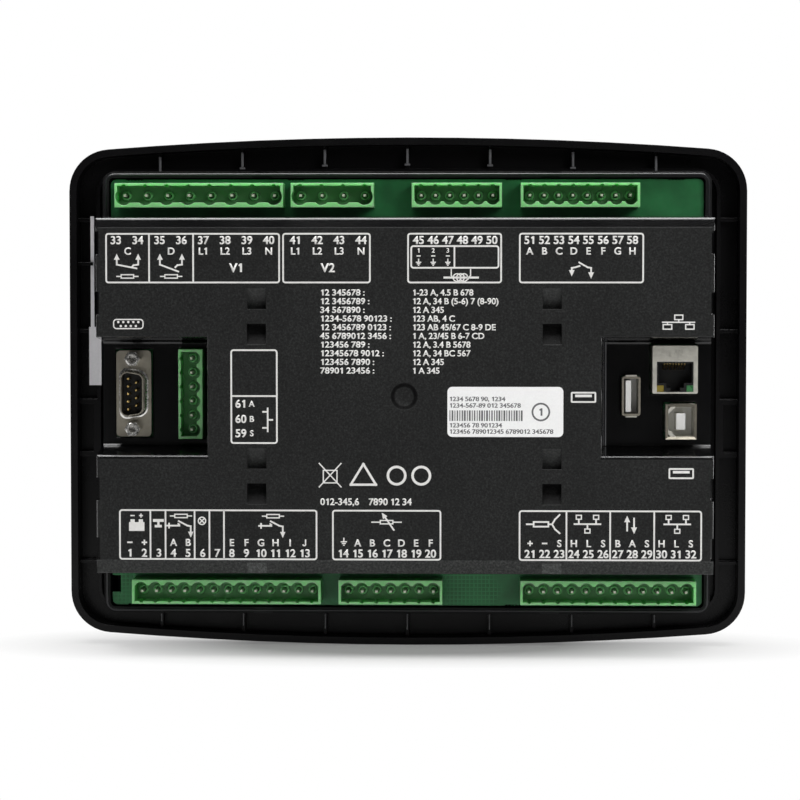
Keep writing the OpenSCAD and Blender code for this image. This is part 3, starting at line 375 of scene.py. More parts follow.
inkGrey = printedFilm("labelInk", (0.13, 0.13, 0.135), 0.5, 900, 0.1)
dullShell = workedMetal("dullShell", (0.34, 0.315, 0.26), 0.36)
special = {"serial_shell": dullShell, "host_shell": dullShell}
print("finishes made:", len(finishes))


# every solid takes the finish of its slot in the record
slotOf = {row["node"]: row["material_slot"] for row in frame["record"]["subparts"]}
for name, node in nodes.items():
    node.data.materials.clear()
    node.data.materials.append(special.get(name) or finishes[slotOf[name]])
print("solids dressed")


# pieces made here: normals out, place in the mesh, riding on a body
def finishPiece(bm, name, material, body="controller"):
    bmesh.ops.recalc_face_normals(bm, faces=bm.faces[:])
    mesh = bpy.data.meshes.new(name)
    bm.to_mesh(mesh)
    bm.free()
    mesh.materials.append(material)
    piece = bpy.data.objects.new(name, mesh)
    scene.collection.objects.link(piece)
    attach(piece, body)
    return piece


# flat print is drawn in mm, right and up as its reader sees it, then laid on a face
def readFromRear(y):
    return Matrix.Scale(mm, 4) @ Matrix(((-1, 0, 0, 0), (0, 0, 1, y), (0, 1, 0, 0), (0, 0, 0, 1)))


def readFromFront(y):
    return Matrix.Scale(mm, 4) @ Matrix(((1, 0, 0, 0), (0, 0, -1, y), (0, 1, 0, 0), (0, 0, 0, 1)))


def flatSize(x, y):
    return Matrix.Diagonal((x, y, 1, 1))


# strokes that cross lie a hair above each other
filmForm = {"levels": 7, "hair": 0.004, "weld": 0.0012, "lift": 0.15, "strikeLift": (0.002, 0.008)}


def hair(bm):
    return len(bm.faces) % filmForm["levels"] * filmForm["hair"]


def sheet(bm, matrix, size=0.5):
    return bmesh.ops.create_grid(bm, x_segments=1, y_segments=1, size=size, matrix=matrix)["verts"]


def disc(bm, centre, radius, segments):
    rim = bmesh.ops.create_circle(bm, cap_ends=True, segments=segments, radius=radius,
                                  matrix=Matrix.Translation(centre))["verts"]
    return rim[0].link_faces[0]


def roundCorners(bm, corners, radius, segments):
    return bmesh.ops.bevel(bm, geom=corners, offset=radius, offset_type="OFFSET", affect="VERTICES",
                           segments=segments, profile=0.5, material=-1)["verts"]


def bar(bm, start, end, width, ends=0.5):
    start, end = Vector(start), Vector(end)
    run = end - start
    turn = Matrix.Rotation(math.atan2(run.y, run.x), 4, "Z")
    place = Matrix.Translation((*(start + end) / 2, hair(bm)))
    sheet(bm, place @ turn @ flatSize(run.length + 2 * ends * width, width))


def path(bm, points, width):
    for start, end in zip(points, points[1:]):
        bar(bm, start, end, width)


def openFace(bm, face, width):
    bmesh.ops.inset_region(bm, faces=[face], thickness=width, use_boundary=True, use_even_offset=True)
    bmesh.ops.delete(bm, geom=[face], context="FACES")


def box(bm, left, low, right, high, width, radius=0.0):
    place = Matrix.Translation(((left + right) / 2, (low + high) / 2, hair(bm)))
    corners = sheet(bm, place @ flatSize(right - left, high - low))
    if radius:
        corners = roundCorners(bm, corners, radius, 5)
    openFace(bm, corners[0].link_faces[0], width)


def ring(bm, centre, radius, width=0.0):
    face = disc(bm, (*centre, hair(bm)), radius, 24)
    if width:
        openFace(bm, face, width)


def head(bm, tip, turn, length=2.0, width=1.8):
    place = Matrix.Translation((*tip, hair(bm))) @ Matrix.Rotation(math.radians(turn), 4, "Z")
    size = flatSize(width / math.sqrt(3), length / 1.5) @ Matrix.Translation((0, -1, 0))
    bmesh.ops.create_circle(bm, cap_ends=True, segments=3, radius=1, matrix=place @ size)


def glyphs(body, bold):
    curve = bpy.data.curves.new("glyphs", "FONT")
    curve.body, curve.offset, curve.resolution_u = body, bold, 4
    holder = bpy.data.objects.new("glyphs", curve)
    scene.collection.objects.link(holder)
    mesh = bpy.data.meshes.new_from_object(holder.evaluated_get(bpy.context.evaluated_depsgraph_get()))
    bpy.data.objects.remove(holder)
    bpy.data.curves.remove(curve)
    return mesh


def glyphSpan(body, axis=0):
    mesh = glyphs(body, 0)
    span = max(vert.co[axis] for vert in mesh.vertices)
    bpy.data.meshes.remove(mesh)
    return span


# letters are set one by one; the figure one, the J and the M are drawn here in strokes
lettering = {"bold": 0.016, "strike": 0.03, "space": 0.24, "stroke": 0.135, "slim": 0.1,
             "one": 0.5, "oneStem": 0.62, "flag": 0.17, "flagRise": (0.74, 0.9), "flagEnd": 0.2,
             "flagStroke": 0.9,
             "hook": 0.42, "hookStem": 0.7, "hookReach": 0.25,
             "hookCurve": ((0, 0.2), (0.2, 0.1), (0.5, 0.07), (0.8, 0.1), (1, 0.2)),
             "wide": 0.78, "wideSide": 0.06, "wideDip": 0.25}
capShare = glyphSpan("H", 1)
advances = {" ": lettering["space"], "1": lettering["one"], "J": lettering["hook"], "M": lettering["wide"]}


def advance(letter):
    if letter not in advances:
        advances[letter] = glyphSpan("H" + letter + "H") - glyphSpan("HH")
    return advances[letter]


def figureOne(bm):
    stem, flag, stroke = lettering["one"] * lettering["oneStem"], lettering["flag"], lettering["stroke"]
    low, high = lettering["flagRise"]
    bar(bm, (stem, 0), (stem, capShare), stroke, 0)
    bar(bm, (stem - flag, capShare * low), (stem - stroke * lettering["flagEnd"], capShare * high),
        stroke * lettering["flagStroke"], 0)


def letterJ(bm):
    stem, curve = lettering["hook"] * lettering["hookStem"], lettering["hookCurve"]
    bar(bm, (stem, capShare * curve[0][1]), (stem, capShare), lettering["slim"], 0)
    points = [(stem - share * lettering["hookReach"], capShare * rise) for share, rise in curve]
    path(bm, points, lettering["slim"])


def letterM(bm):
    left, right = lettering["wideSide"], lettering["wide"] - lettering["wideSide"]
    dip = (lettering["wide"] / 2, capShare * lettering["wideDip"])
    path(bm, [(left, 0), (left, capShare), dip, (right, capShare), (right, 0)], lettering["slim"])


drawnHere = {"1": figureOne, "J": letterJ, "M": letterM}


def drawn(letter):
    bm = bmesh.new()
    drawnHere[letter](bm)
    mesh = bpy.data.meshes.new("drawn")
    bm.to_mesh(mesh)
    bm.free()
    return mesh


def write(bm, body, centre, height, wide=1.0, align="CENTER"):
    size = height / capShare
    cursor = -sum(advance(letter) for letter in body) / 2 if align == "CENTER" else 0
    place = Matrix.Translation((*centre, 0)) @ flatSize(size * wide, size)
    for letter in body:
        if letter != " ":
            # struck twice a little apart, for a bold stroke
            for side, lift in enumerate(filmForm["strikeLift"]):
                mesh = drawn(letter) if letter in drawnHere else glyphs(letter, lettering["bold"])
                mesh.transform(place @ Matrix.Translation(
                    (cursor + (side - 0.5) * lettering["strike"], -capShare / 2, lift)))
                bm.from_mesh(mesh)
                bpy.data.meshes.remove(mesh)
        cursor += advance(letter)


def layPrint(bm, name, material, plane, film, shift=(0, 0), body="controller"):
    bmesh.ops.remove_doubles(bm, verts=bm.verts[:], dist=filmForm["weld"])
    bmesh.ops.recalc_face_normals(bm, faces=bm.faces[:])
    bmesh.ops.solidify(bm, geom=bm.faces[:], thickness=film)
    rise = film * filmForm["lift"] - min(vert.co.z for vert in bm.verts)
    bmesh.ops.transform(bm, matrix=plane @ Matrix.Translation((*shift, rise)), verts=bm.verts[:])
    finishPiece(bm, name, material, body)


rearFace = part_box("rear_case")[1].y / mm


# a list of signs in drawing order: each a function and what it is given after the mesh
def drawSigns(bm, signs):
    for draw, *values in signs:
        draw(bm, *values)


# white legend on the rear face: boxes, terminal numbers and letters, plain circuit signs
legend = {
    "line": 0.58, "thin": 0.42, "fine": 0.45, "corner": 1.1, "film": 0.03, "shift": (-0.4, -0.2),
    "numberHeight": 2.7, "letterHeight": 2.4, "poleReach": 0.95, "poleLine": 0.55,
    "boxes": [  # left, low, right, high and the places of the dividers
        (-103.8, 39.6, -42.8, 57.1, (-88.5, -73.1)), (-42.0, 39.6, -11.2, 57.1, ()),
        (1.5, 39.6, 34.4, 57.1, ()), (40.3, 39.6, 83.6, 57.1, ()), (2.6, 44.7, 33.5, 52.8, (17.9,)),
        (-99.4, -57.1, -29.9, -39.4, (-88.4, -83.1, -72.9, -67.7, -62.6)), (-24.75, -57.1, 13.4, -39.4, ()),
        (40.4, -57.1, 104.1, -39.4, (57.0, 72.2, 87.5)), (-60.2, -16.4, -43.7, 16.6, ()),
    ],
    "sideDivider": ((-60.0, 0.3), (-43.9, 0.3)),
    "rows": [  # first number, place, pitch, height of the numbers and of the letters, letters
        (33, -100.07, 7.62, 54.6, 50.8, "    L1 L2 L3 N".split(" ")),
        (41, -37.43, 7.62, 54.6, 50.8, "L1 L2 L3 N".split(" ")),
        (45, 5.45, 5.08, 54.6, 50.8, [""] * 6),
        (51, 44.02, 5.08, 54.6, 50.8, "A B C D E F G H".split(" ")),
        (1, -95.65, 5.11, -54.7, -51.0, "- +  A B   E F G H I J".split(" ")),
        (14, -20.9, 5.09, -54.7, -51.0, " A B C D E F".split(" ")),
        (21, 44.35, 5.08, -54.7, -51.0, "+ - S H L S B A S H L S".split(" ")),
    ],
    "index": [  # two columns of plain numbers and letters
        ("12 345678 :", "1-23 A, 4.5 B 678"), ("12 3456789 :", "12 A, 34 B (5-6) 7 (8-90)"),
        ("34 567890 :", "12 A 345"), ("1234-5678 90123 :", "123 AB, 4 C"),
        ("12 3456789 0123 :", "123 AB 45/67 C 8-9 DE"), ("45 6789012 3456 :", "1 A, 23/45 B 6-7 CD"),
        ("123456 789 :", "12 A, 3.4 B 5678"), ("12345678 9012 :", "12 A, 34 BC 567"),
        ("123456 7890 :", "12 A 345"), ("78901 23456 :", "1 A 345"),
    ],
    "indexPlace": (-28.9, 3.2), "indexTop": 36.4, "indexStep": 3.02, "indexHeight": 2.05,
    "indexWide": (1.11, 1.02),
    # parts of the signs: half length, height and overlap; stem, half widths and step; neck, arrow and heel
    "fuse": (2.4, 1.6, 0.1), "earth": (1.2, (1.1, 0.7, 0.3), 0.6),
    "bladeNeck": 1.2, "bladeArrow": (2.1, 2.0), "bladeHeel": ((0, 0), (1.6, 0.2), (2.3, 0.9)),
    # data line: half length, places and sides of the taps, length of a tap, place and half size of its box
    "dataHalf": 4.5, "dataTaps": ((-3, 1), (0, -1), (3, 1)), "tap": 1.6, "tapBox": (2.4, 1.1, 0.9),
}
stroke, thin, fine = legend["line"], legend["thin"], legend["fine"]


def fuse(bm, x, z, lead=3.9):
    half, tall, overlap = legend["fuse"]
    box(bm, x - half, z - tall / 2, x + half, z + tall / 2, thin)
    for side in (-1, 1):
        bar(bm, (x + side * (half - overlap), z), (x + side * lead, z), thin, 0)


def earth(bm, x, z, size=1.0):
    stem, halves, step = legend["earth"]
    bar(bm, (x, z + stem * size), (x, z), thin)
    for k, half in enumerate(halves):
        level = z - step * k * size
        bar(bm, (x - half * size, level), (x + half * size, level), thin, 0)


# changeover blade between two arrows that point at their terminals
def blade(bm, left, right, low, tip, end):
    for x in (left, right):
        bar(bm, (x, low), (x, tip - legend["bladeNeck"]), stroke)
        head(bm, (x, tip), 0, *legend["bladeArrow"])
    path(bm, [(left, low), end], stroke)
    path(bm, [(right - run, low - drop) for run, drop in legend["bladeHeel"]], stroke)


def feed(bm, x):
    drawSigns(bm, [
        (fuse, x, -41.7),
        (path, [(x - 0.8, -43.5), (x + 2.2, -45.05), (x + 3.4, -45.3), (x + 3.4, -48.0)], stroke),
        (head, (x + 3.4, -49.3), 180, 2.1, 1.9),
        (bar, (x - 3.1, -45.1), (x - 0.6, -45.1), stroke), (head, (x - 0.2, -44.6), -90, 1.0, 1.1),
        (bar, (x - 4.9, -45.1), (x - 3.6, -45.1), stroke), (bar, (x - 4.2, -45.8), (x - 4.2, -44.4), stroke)])


def meter(bm, number, x):
    drawSigns(bm, [(write, number, (x, 51.0), 1.5), (bar, (x - 0.7, 49.1), (x + 0.7, 49.1), thin, 0),
                   (earth, x, 46.9, 0.85)])


# a line with three taps, for a shared data line
def dataLine(bm, x, z):
    away, halfX, halfZ = legend["tapBox"]
    bar(bm, (x - legend["dataHalf"], z), (x + legend["dataHalf"], z), stroke)
    for k, side in legend["dataTaps"]:
        bar(bm, (x + k, z), (x + k, z + side * legend["tap"]), stroke)
        middle = z + side * away
        box(bm, x + k - halfX, middle - halfZ, x + k + halfX, middle + halfZ, thin)


legendSigns = {
    "switchedPairs": [
        (write, "C", (-96.0, 50.8), legend["letterHeight"]),
        (write, "D", (-80.8, 50.8), legend["letterHeight"]),
        (blade, -99.8, -92.3, 46.1, 49.9, (-92.9, 44.8)), (blade, -84.7, -77.0, 46.1, 49.9, (-78.3, 43.7)),
        (fuse, -96.1, 42.0), (fuse, -80.8, 42.0)],
    "measuringInputs": [
        (write, "V1", (-58.0, 45.0), 3.0), (write, "V2", (-26.1, 45.0), 3.0),
        (meter, "1", 5.45), (meter, "2", 10.53), (meter, "3", 15.61)],
    "ringTransformer": [
        (bar, (14.1, 41.6), (26.4, 41.6), 0.7, 0),
        (ring, (18.8, 41.6), 1.55, thin), (ring, (20.0, 41.6), 1.55, thin), (ring, (21.2, 41.6), 1.55, thin),
        (path, [(16.8, 44.4), (16.8, 42.4), (17.6, 41.0)], thin),
        (path, [(23.5, 44.4), (23.5, 42.4), (22.6, 41.0)], thin)],
    "outputContact": [
        (path, [(61.2, 46.8), (64.0, 45.2), (65.3, 44.9), (65.3, 42.6)], stroke),
        (head, (65.3, 41.2), 180, 2.2, 2.0),
        (path, [(61.3, 45.6), (60.0, 45.2), (58.6, 44.9), (58.6, 43.6)], stroke),
        (head, (58.6, 42.0), 180, 2.2, 2.0)],
    "battery": [
        (bar, (-95.9, -45.45), (-90.5, -45.45), 3.1, 0), (bar, (-95.4, -43.45), (-93.9, -43.45), 1.1, 0),
        (bar, (-92.5, -43.45), (-91.0, -43.45), 1.1, 0), (bar, (-95.4, -41.6), (-93.9, -41.6), fine, 0),
        (bar, (-92.4, -41.6), (-91.0, -41.6), fine, 0), (bar, (-91.7, -42.3), (-91.7, -40.9), fine, 0)],
    "pushButton": [
        (bar, (-87.5, -43.3), (-83.7, -43.3), 1.0, 0), (bar, (-86.9, -45.3), (-84.4, -45.3), 0.9, 0),
        (bar, (-85.6, -45.6), (-85.6, -43.0), 0.8, 0)],
    "feeds": [(feed, -77.65), (feed, -45.4)],
    "lamp": [
        (ring, (-70.3, -43.4), 1.5, thin), (bar, (-71.35, -42.35), (-69.25, -44.45), thin, 0),
        (bar, (-71.35, -44.45), (-69.25, -42.35), thin, 0)],
    "variableResistor": [
        (earth, -20.64, -50.6), (fuse, -5.7, -43.7, 5.3), (bar, (-3.2, -46.4), (-6.9, -41.0), stroke),
        (head, (-7.4, -40.4), 35, 2.1, 1.9)],
    "probe": [
        (box, 45.3, -45.4, 51.0, -43.2, stroke), (path, [(45.3, -44.3), (43.2, -44.3)], stroke),
        (path, [(51.0, -44.3), (52.0, -44.3), (53.0, -42.6), (54.6, -41.0)], stroke),
        (path, [(52.0, -44.3), (53.0, -46.0), (54.6, -47.4)], stroke)],
    "dataLines": [
        (dataLine, 64.3, -44.2), (dataLine, 95.5, -44.2),
        (bar, (78.1, -46.4), (78.1, -42.7), stroke), (head, (78.1, -41.2), 0, 2.3, 2.1),
        (bar, (80.5, -42.2), (80.5, -46.1), stroke), (head, (80.5, -47.6), 180, 2.3, 2.1)],
    "sideTerminals": [
        *(sign for number, letter, z in (("61", "A", -2.4), ("60", "B", -7.7), ("59", "S", -12.7))
          for sign in ((write, number, (-56.6, z), legend["numberHeight"]),
                       (write, letter, (-52.8, z), 2.0))),
        (path, [(-47.2, -4.0), (-47.2, -12.0)], stroke), (bar, (-47.2, -5.2), (-48.8, -5.2), stroke),
        (bar, (-47.2, -8.0), (-45.6, -8.0), stroke), (bar, (-47.2, -10.8), (-48.8, -10.8), stroke)],
    "networkPort": [
        (box, 94.1, 26.8, 97.3, 28.8, thin), (box, 90.1, 23.5, 93.5, 25.5, thin),
        (box, 97.9, 23.5, 101.2, 25.5, thin),
        (bar, (89.9, 26.1), (101.4, 26.1), fine, 0), (bar, (95.7, 26.2), (95.7, 26.8), fine, 0),
        (bar, (91.8, 25.4), (91.8, 26.0), fine, 0), (bar, (99.5, 25.4), (99.5, 26.0), fine, 0)],
    "dataPorts": [
        (box, 58.4, -1.9, 67.2, 1.9, stroke, 0.5), (bar, (59.9, 0.5), (65.7, 0.5), 0.9, 0),
        (box, 92.4, -28.4, 101.2, -24.6, stroke, 0.5), (bar, (93.9, -26.0), (99.7, -26.0), 0.9, 0)],
    "serialPort": [
        (box, -101.2, 23.6, -90.5, 27.2, thin, 1.2),
        *((ring, (-95.85 + k * 1.75, 26.1), 0.42) for k in (-2, -1, 0, 1, 2)),
        *((ring, (-95.85 + k * 1.75, 24.7), 0.42) for k in (-1.5, -0.5, 0.5, 1.5))],
    "plainMarks": [
        (box, -28.0, -30.2, -22.8, -25.4, thin), (bar, (-29.2, -31.4), (-21.6, -23.2), thin),
        (bar, (-29.2, -23.2), (-21.6, -31.4), thin),
        (path, [(-18.2, -30.6), (-13.8, -23.4), (-9.4, -30.6), (-18.2, -30.6)], 0.8),
        (ring, (-2.2, -27.4), 3.5, 0.9), (ring, (6.4, -27.4), 3.5, 0.9)],
    "numberRow": [(write, "012-345,6    7890 12 34", (-28.9, -36.6), 2.3, 1.0, "LEFT")],
}


def terminalRows(bm):
    reach, width = legend["poleReach"], legend["poleLine"]
    for first, start, pitch, numberZ, letterZ, letters in legend["rows"]:
        for k, letter in enumerate(letters):
            x = start + k * pitch
            write(bm, str(first + k), (x, numberZ), legend["numberHeight"])
            if letter in ("-", "+"):
                bar(bm, (x - reach, letterZ), (x + reach, letterZ), width, 0)
                if letter == "+":
                    bar(bm, (x, letterZ - reach), (x, letterZ + reach), width, 0)
            elif letter:
                write(bm, letter, (x, letterZ), legend["letterHeight"])


def rearLegend():
    bm = bmesh.new()
    for left, low, right, high, dividers in legend["boxes"]:
        box(bm, left, low, right, high, stroke, legend["corner"])
        for x in dividers:
            bar(bm, (x, low + stroke / 2), (x, high - stroke / 2), stroke, 0)
    bar(bm, *legend["sideDivider"], stroke, 0)
    terminalRows(bm)
    for group in legendSigns.values():
        drawSigns(bm, group)
    for k, columns in enumerate(legend["index"]):
        z = legend["indexTop"] - k * legend["indexStep"]
        for body, x, wide in zip(columns, legend["indexPlace"], legend["indexWide"]):
            write(bm, body, (x, z), legend["indexHeight"], wide, "LEFT")
    layPrint(bm, "rearLegend", inkWhite, readFromRear(rearFace), legend["film"], legend["shift"])


rearLegend()
print("rear legend printed")


# grey print on the rating label: rows of plain numbers, a striped field and a ring
labelForm = {
    "film": 0.02, "numberHeight": 1.5, "wide": 1.12, "margin": 0.6,
    "rows": [(0.76, "1234 5678 90, 1234"), (0.63, "1234-567-89 012 345678"),
             (0.235, "123456 78 901234"), (0.11, "123456 789012345 6789012 345678")],
    "stripes": (0.32, 0.53, 26.2), "stripeFrom": 0.3, "stripePitch": 0.86, "stripe": (0.34, 0.3),
    "ring": (31.9, 0.5, 3.25, 0.62), "ringText": 2.6,
}


def labelPrint():
    low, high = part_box("rating_label")
    left, bottom, tall = -high.x / mm + labelForm["margin"], low.z / mm, (high.z - low.z) / mm
    bm = bmesh.new()
    for share, numbers in labelForm["rows"]:
        write(bm, numbers, (left, bottom + share * tall), labelForm["numberHeight"], labelForm["wide"],
              "LEFT")
    lowShare, highShare, length = labelForm["stripes"]
    for k in range(int(length / labelForm["stripePitch"])):
        x = left + labelForm["stripeFrom"] + k * labelForm["stripePitch"]
        width = labelForm["stripe"][0] + labelForm["stripe"][1] * (k * 5 % 7 % 3) / 2
        bar(bm, (x, bottom + lowShare * tall), (x, bottom + highShare * tall), width, 0)
    x, share, radius, line = labelForm["ring"]
    ring(bm, (left + x, bottom + share * tall), radius, line)
    write(bm, "1", (left + x, bottom + share * tall), labelForm["ringText"])
    layPrint(bm, "labelPrint", inkGrey, readFromRear(high.y / mm), labelForm["film"])


labelPrint()
print("label printed")


# signs on the keys and numbers by the lamps, read from the front
frontPrint = {"line": 0.9, "film": 0.03, "letterHeight": 5.2, "arrow": (4.6, 5.2), "numberHeight": 2.6,
              "numberGap": 5.0, "lamps": 4}


def pointer(bm, turn):
    length, width = frontPrint["arrow"]
    head(bm, Matrix.Rotation(math.radians(turn), 2) @ Vector((0, length / 2)), turn, length, width)


keySigns = {
    "key_stop": [(ring, (0, 0), 3.4, 1.0)],
    "key_start": [(bar, (0, -3.2), (0, 3.2), 1.2, 0)],
    **{node: [(write, letter, (0, 0), frontPrint["letterHeight"])]
       for node, letter in (("key_manual", "M"), ("key_test", "T"), ("key_auto", "A"))},
    "key_mute": [(bar, (-4.2, 0), (-2.6, 0), 2.6, 0), (head, (-4.6, 0), 90, 4.2, 5.6),
                 (bar, (1.2, -1.7), (4.6, 1.7), frontPrint["line"], 0),
                 (bar, (1.2, 1.7), (4.6, -1.7), frontPrint["line"], 0)],
    **{node: [(pointer, 90 * k)] for k, node in enumerate(("key_up", "key_left", "key_down", "key_right"))},
    "key_enter": [(path, [(-2.6, 0.2), (-0.7, -1.9), (2.7, 2.2)], frontPrint["line"])],
}
for node, signs in keySigns.items():
    low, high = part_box(node)
    bm = bmesh.new()
    drawSigns(bm, signs)
    place = ((low.x + high.x) / 2 / mm, (low.z + high.z) / 2 / mm)
    layPrint(bm, node + "_sign", inkWhite, readFromFront(low.y / mm), frontPrint["film"], place, node)


def lampNumbers():
    low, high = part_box("indicator_lamps")
    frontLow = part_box("front_fascia")[0].y / mm
    count, radius = frontPrint["lamps"], (high.x - low.x) / 2 / mm
    bm = bmesh.new()
    for k in range(count):
        z = high.z / mm - radius - k * ((high.z - low.z) / mm - 2 * radius) / (count - 1)
        write(bm, str(k + 1), (low.x / mm - frontPrint["numberGap"] + radius, z), frontPrint["numberHeight"])
    layPrint(bm, "lampNumbers", inkWhite, readFromFront(frontLow), frontPrint["film"])


lampNumbers()
print("front signs printed")


# a flat face stepped inward and up, ring by ring, then opened in the middle
def stepFace(bm, face, steps):
    for width, rise in steps:
        bmesh.ops.inset_region(bm, faces=[face], thickness=width, depth=rise, use_boundary=True,
                               use_even_offset=True)
    bmesh.ops.delete(bm, geom=[face], context="FACES")


# pin ends painted near white as a painted glint, and the round collars at their feet
terminals = {
    "rows": [(70.6, [(8, 7.62, 73.4), (4, 7.62, 26.0), (6, 5.08, -18.15), (8, 5.08, -61.8)]),
             (-70.6, [(13, 5.08, 63.95), (7, 5.08, 5.4), (12, 5.08, -72.0)])],
    "side": (6, 5.08, 76.5), "tipFrom": 17.0, "tipHeight": 0.45, "pinHalf": 0.5, "tipHalf": 0.36,
    "collarFoot": 10.95, "collarRadius": 1.8,
    "collarSteps": ((0.2, 1.1), (0.15, 0.15), (0.3, 0.0), (0.25, -0.7)),
}


def pinPlaces():
    for z, row in terminals["rows"]:
        for count, pitch, middle in row:
            for k in range(count):
                yield middle + (k - (count - 1) / 2) * pitch, z
    count, pitch, x = terminals["side"]
    for k in range(count):
        yield x, (k - (count - 1) / 2) * pitch


def pinTips():
    height, pinRadius, tipRadius = terminals["tipHeight"], *(
        terminals[key] * math.sqrt(2) for key in ("pinHalf", "tipHalf"))
    turn = Matrix.Rotation(-math.pi / 2, 4, "X") @ Matrix.Rotation(math.pi / 4, 4, "Z")
    bm = bmesh.new()
    for x, z in pinPlaces():
        place = Matrix.Translation((x, terminals["tipFrom"] + height / 2, z))
        bmesh.ops.create_cone(bm, cap_ends=True, segments=4, radius1=pinRadius, radius2=tipRadius,
                              depth=height, matrix=Matrix.Scale(mm, 4) @ place @ turn)
    finishPiece(bm, "pinTips", finishes["pin_end_painted_glint"])


def pinCollars():
    bm = bmesh.new()
    for x, z in pinPlaces():
        stepFace(bm, disc(bm, (-x, z, 0), terminals["collarRadius"], 20), terminals["collarSteps"])
    bm.transform(readFromRear(terminals["collarFoot"]))
    finishPiece(bm, "pinCollars", finishes["collar"])


pinTips()
pinCollars()
print("pins finished")


def addBlock(bm, low, high, soften=0.0):
    size = [high[k] - low[k] for k in range(3)]
    place = Matrix.Translation([(low[k] + high[k]) / 2 for k in range(3)]) @ Matrix.Diagonal((*size, 1))
    corners = bmesh.ops.create_cube(bm, size=1.0, matrix=place)["verts"]
    if soften:
        edges = list({edge for vert in corners for edge in vert.link_edges})
        bmesh.ops.bevel(bm, geom=edges, offset=soften, offset_type="OFFSET", affect="EDGES", segments=2,
                        profile=0.5, material=-1)


def blockPiece(name, blocks, material):
    bm = bmesh.new()
    for block in blocks:
        addBlock(bm, *block)
    bm.transform(Matrix.Scale(mm, 4))
    return finishPiece(bm, name, material)


# crests of the ribs in the channel, broad above and thin below, pale grey as a painted highlight
crests = {"pitch": 30.0, "count": 3, "rimTop": 88.2, "archRadius": 1418.3, "length": 5.4, "edge": -5.0,
          "rise": 0.5, "half": 0.45, "sunk": 0.1, "soft": 0.2, "footHalf": 1.05, "footLength": 0.8,
          "footSunk": 0.3, "footRise": 0.35, "thinHalf": 0.22, "thinFrom": -81.4, "thinGap": 1.0,
          "thinSoft": 0.1}


def crestBlocks():
    edge = crests["edge"]
    base, crown = edge - crests["sunk"], edge + crests["rise"]
    half, foot, slim = crests["half"], crests["footHalf"], crests["thinHalf"]
    for k in range(-crests["count"], crests["count"] + 1):
        x = k * crests["pitch"]
        top = crests["rimTop"] - x * x / 2 / crests["archRadius"]
        low = top - crests["length"]
        yield (x - half, base, low), (x + half, crown, top), crests["soft"]
        yield ((x - foot, edge - crests["footSunk"], low - crests["footLength"]),
               (x + foot, edge + crests["footRise"], low), crests["soft"])
        yield ((x - slim, base, crests["thinGap"] - top), (x + slim, crown, crests["thinFrom"]),
               crests["thinSoft"])


blockPiece("ribCrests", crestBlocks(), finishes["rib_crest_painted_highlight"])


# rounded crown along the lips of both troughs: a tone lighter than the black lip, painted sheen, beside real
# highlights on its gloss
lipBead = {"half": (108.3, 78.7), "round": 3.6, "base": 10.48, "open": 62.6,
           "steps": ((0.2, 0.2), (0.15, 0.06), (0.2, 0.0), (0.15, -0.06), (0.2, -0.2))}


def troughBead():
    bm = bmesh.new()
    corners = sheet(bm, flatSize(*lipBead["half"]), 1.0)
    rounded = roundCorners(bm, corners, lipBead["round"], 6)
    stepFace(bm, rounded[0].link_faces[0], lipBead["steps"])
    for side in (-1, 1):
        bmesh.ops.bisect_plane(bm, geom=bm.verts[:] + bm.edges[:] + bm.faces[:],
                               plane_co=(0, side * lipBead["open"], 0), plane_no=(0, 1, 0))
    inner = [face for face in bm.faces if abs(face.calc_center_median().y) < lipBead["open"]]
    bmesh.ops.delete(bm, geom=inner, context="FACES")
    bm.transform(readFromRear(lipBead["base"]))
    finishPiece(bm, "troughBead", finishes["lip_crest_painted_sheen"])


troughBead()


# rounded foot of the end wall in the right-hand recess, pale grey as a painted highlight
footBlock = {"low": (-71.5, 12.4, -18.8), "high": (-70.9, 12.8, 18.8), "soft": 0.15}
blockPiece("footPaintedHighlight", [footBlock.values()], finishes["rib_crest_painted_highlight"])


# slip-in card: a narrow leg behind the case and a wide foot in the recess
cardBlocks = {"leg": ((114.25, -4.98, 23.5), (115.55, -4.5, 63.8)),
              "foot": ((111.75, -4.98, 2.2), (116.2, -4.5, 23.5))}
piece = blockPiece("slipCard", cardBlocks.values(), finishes["card_paper"])
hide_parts("legend_card")
print("channel finished")


# nine-pin port: pressed root round its shell, turned ends of the jackscrews
serial = {"place": (97.4, 15.03, 0.0), "half": (5.25, 9.5), "lean": 1.5, "round": 3.3,
          "steps": ((0.5, 0.08), (0.28, 0.2), (0.16, 0.35), (0.08, 0.5)),
          "screws": 12.495, "screwEnd": 20.02, "screwRadius": 2.35,
          "screwSteps": ((0.4, 0.3), (0.45, 0.0), (0.15, -0.9))}


def serialRoot():
    bm = bmesh.new()
    corners = sheet(bm, flatSize(*serial["half"]), 1.0)
    for vert in corners:
        if vert.co.x > 0:  # the narrow side lies to the right as seen from the rear
            vert.co.y -= math.copysign(serial["lean"], vert.co.y)
    rounded = roundCorners(bm, corners, serial["round"], 6)
    stepFace(bm, rounded[0].link_faces[0], serial["steps"])
    x, y, z = serial["place"]
    bm.transform(readFromRear(y) @ Matrix.Translation((-x, z, 0)))
    finishPiece(bm, "serialRoot", finishes["zinc_steel"])


def screwEnds():
    bm = bmesh.new()
    for side in (-1, 1):
        end = disc(bm, (-serial["place"][0], side * serial["screws"], 0), serial["screwRadius"], 28)
        stepFace(bm, end, serial["screwSteps"])
    bm.transform(readFromRear(serial["screwEnd"]))
    finishPiece(bm, "screwEnds", finishes["zinc_steel"])


serialRoot()
screwEnds()


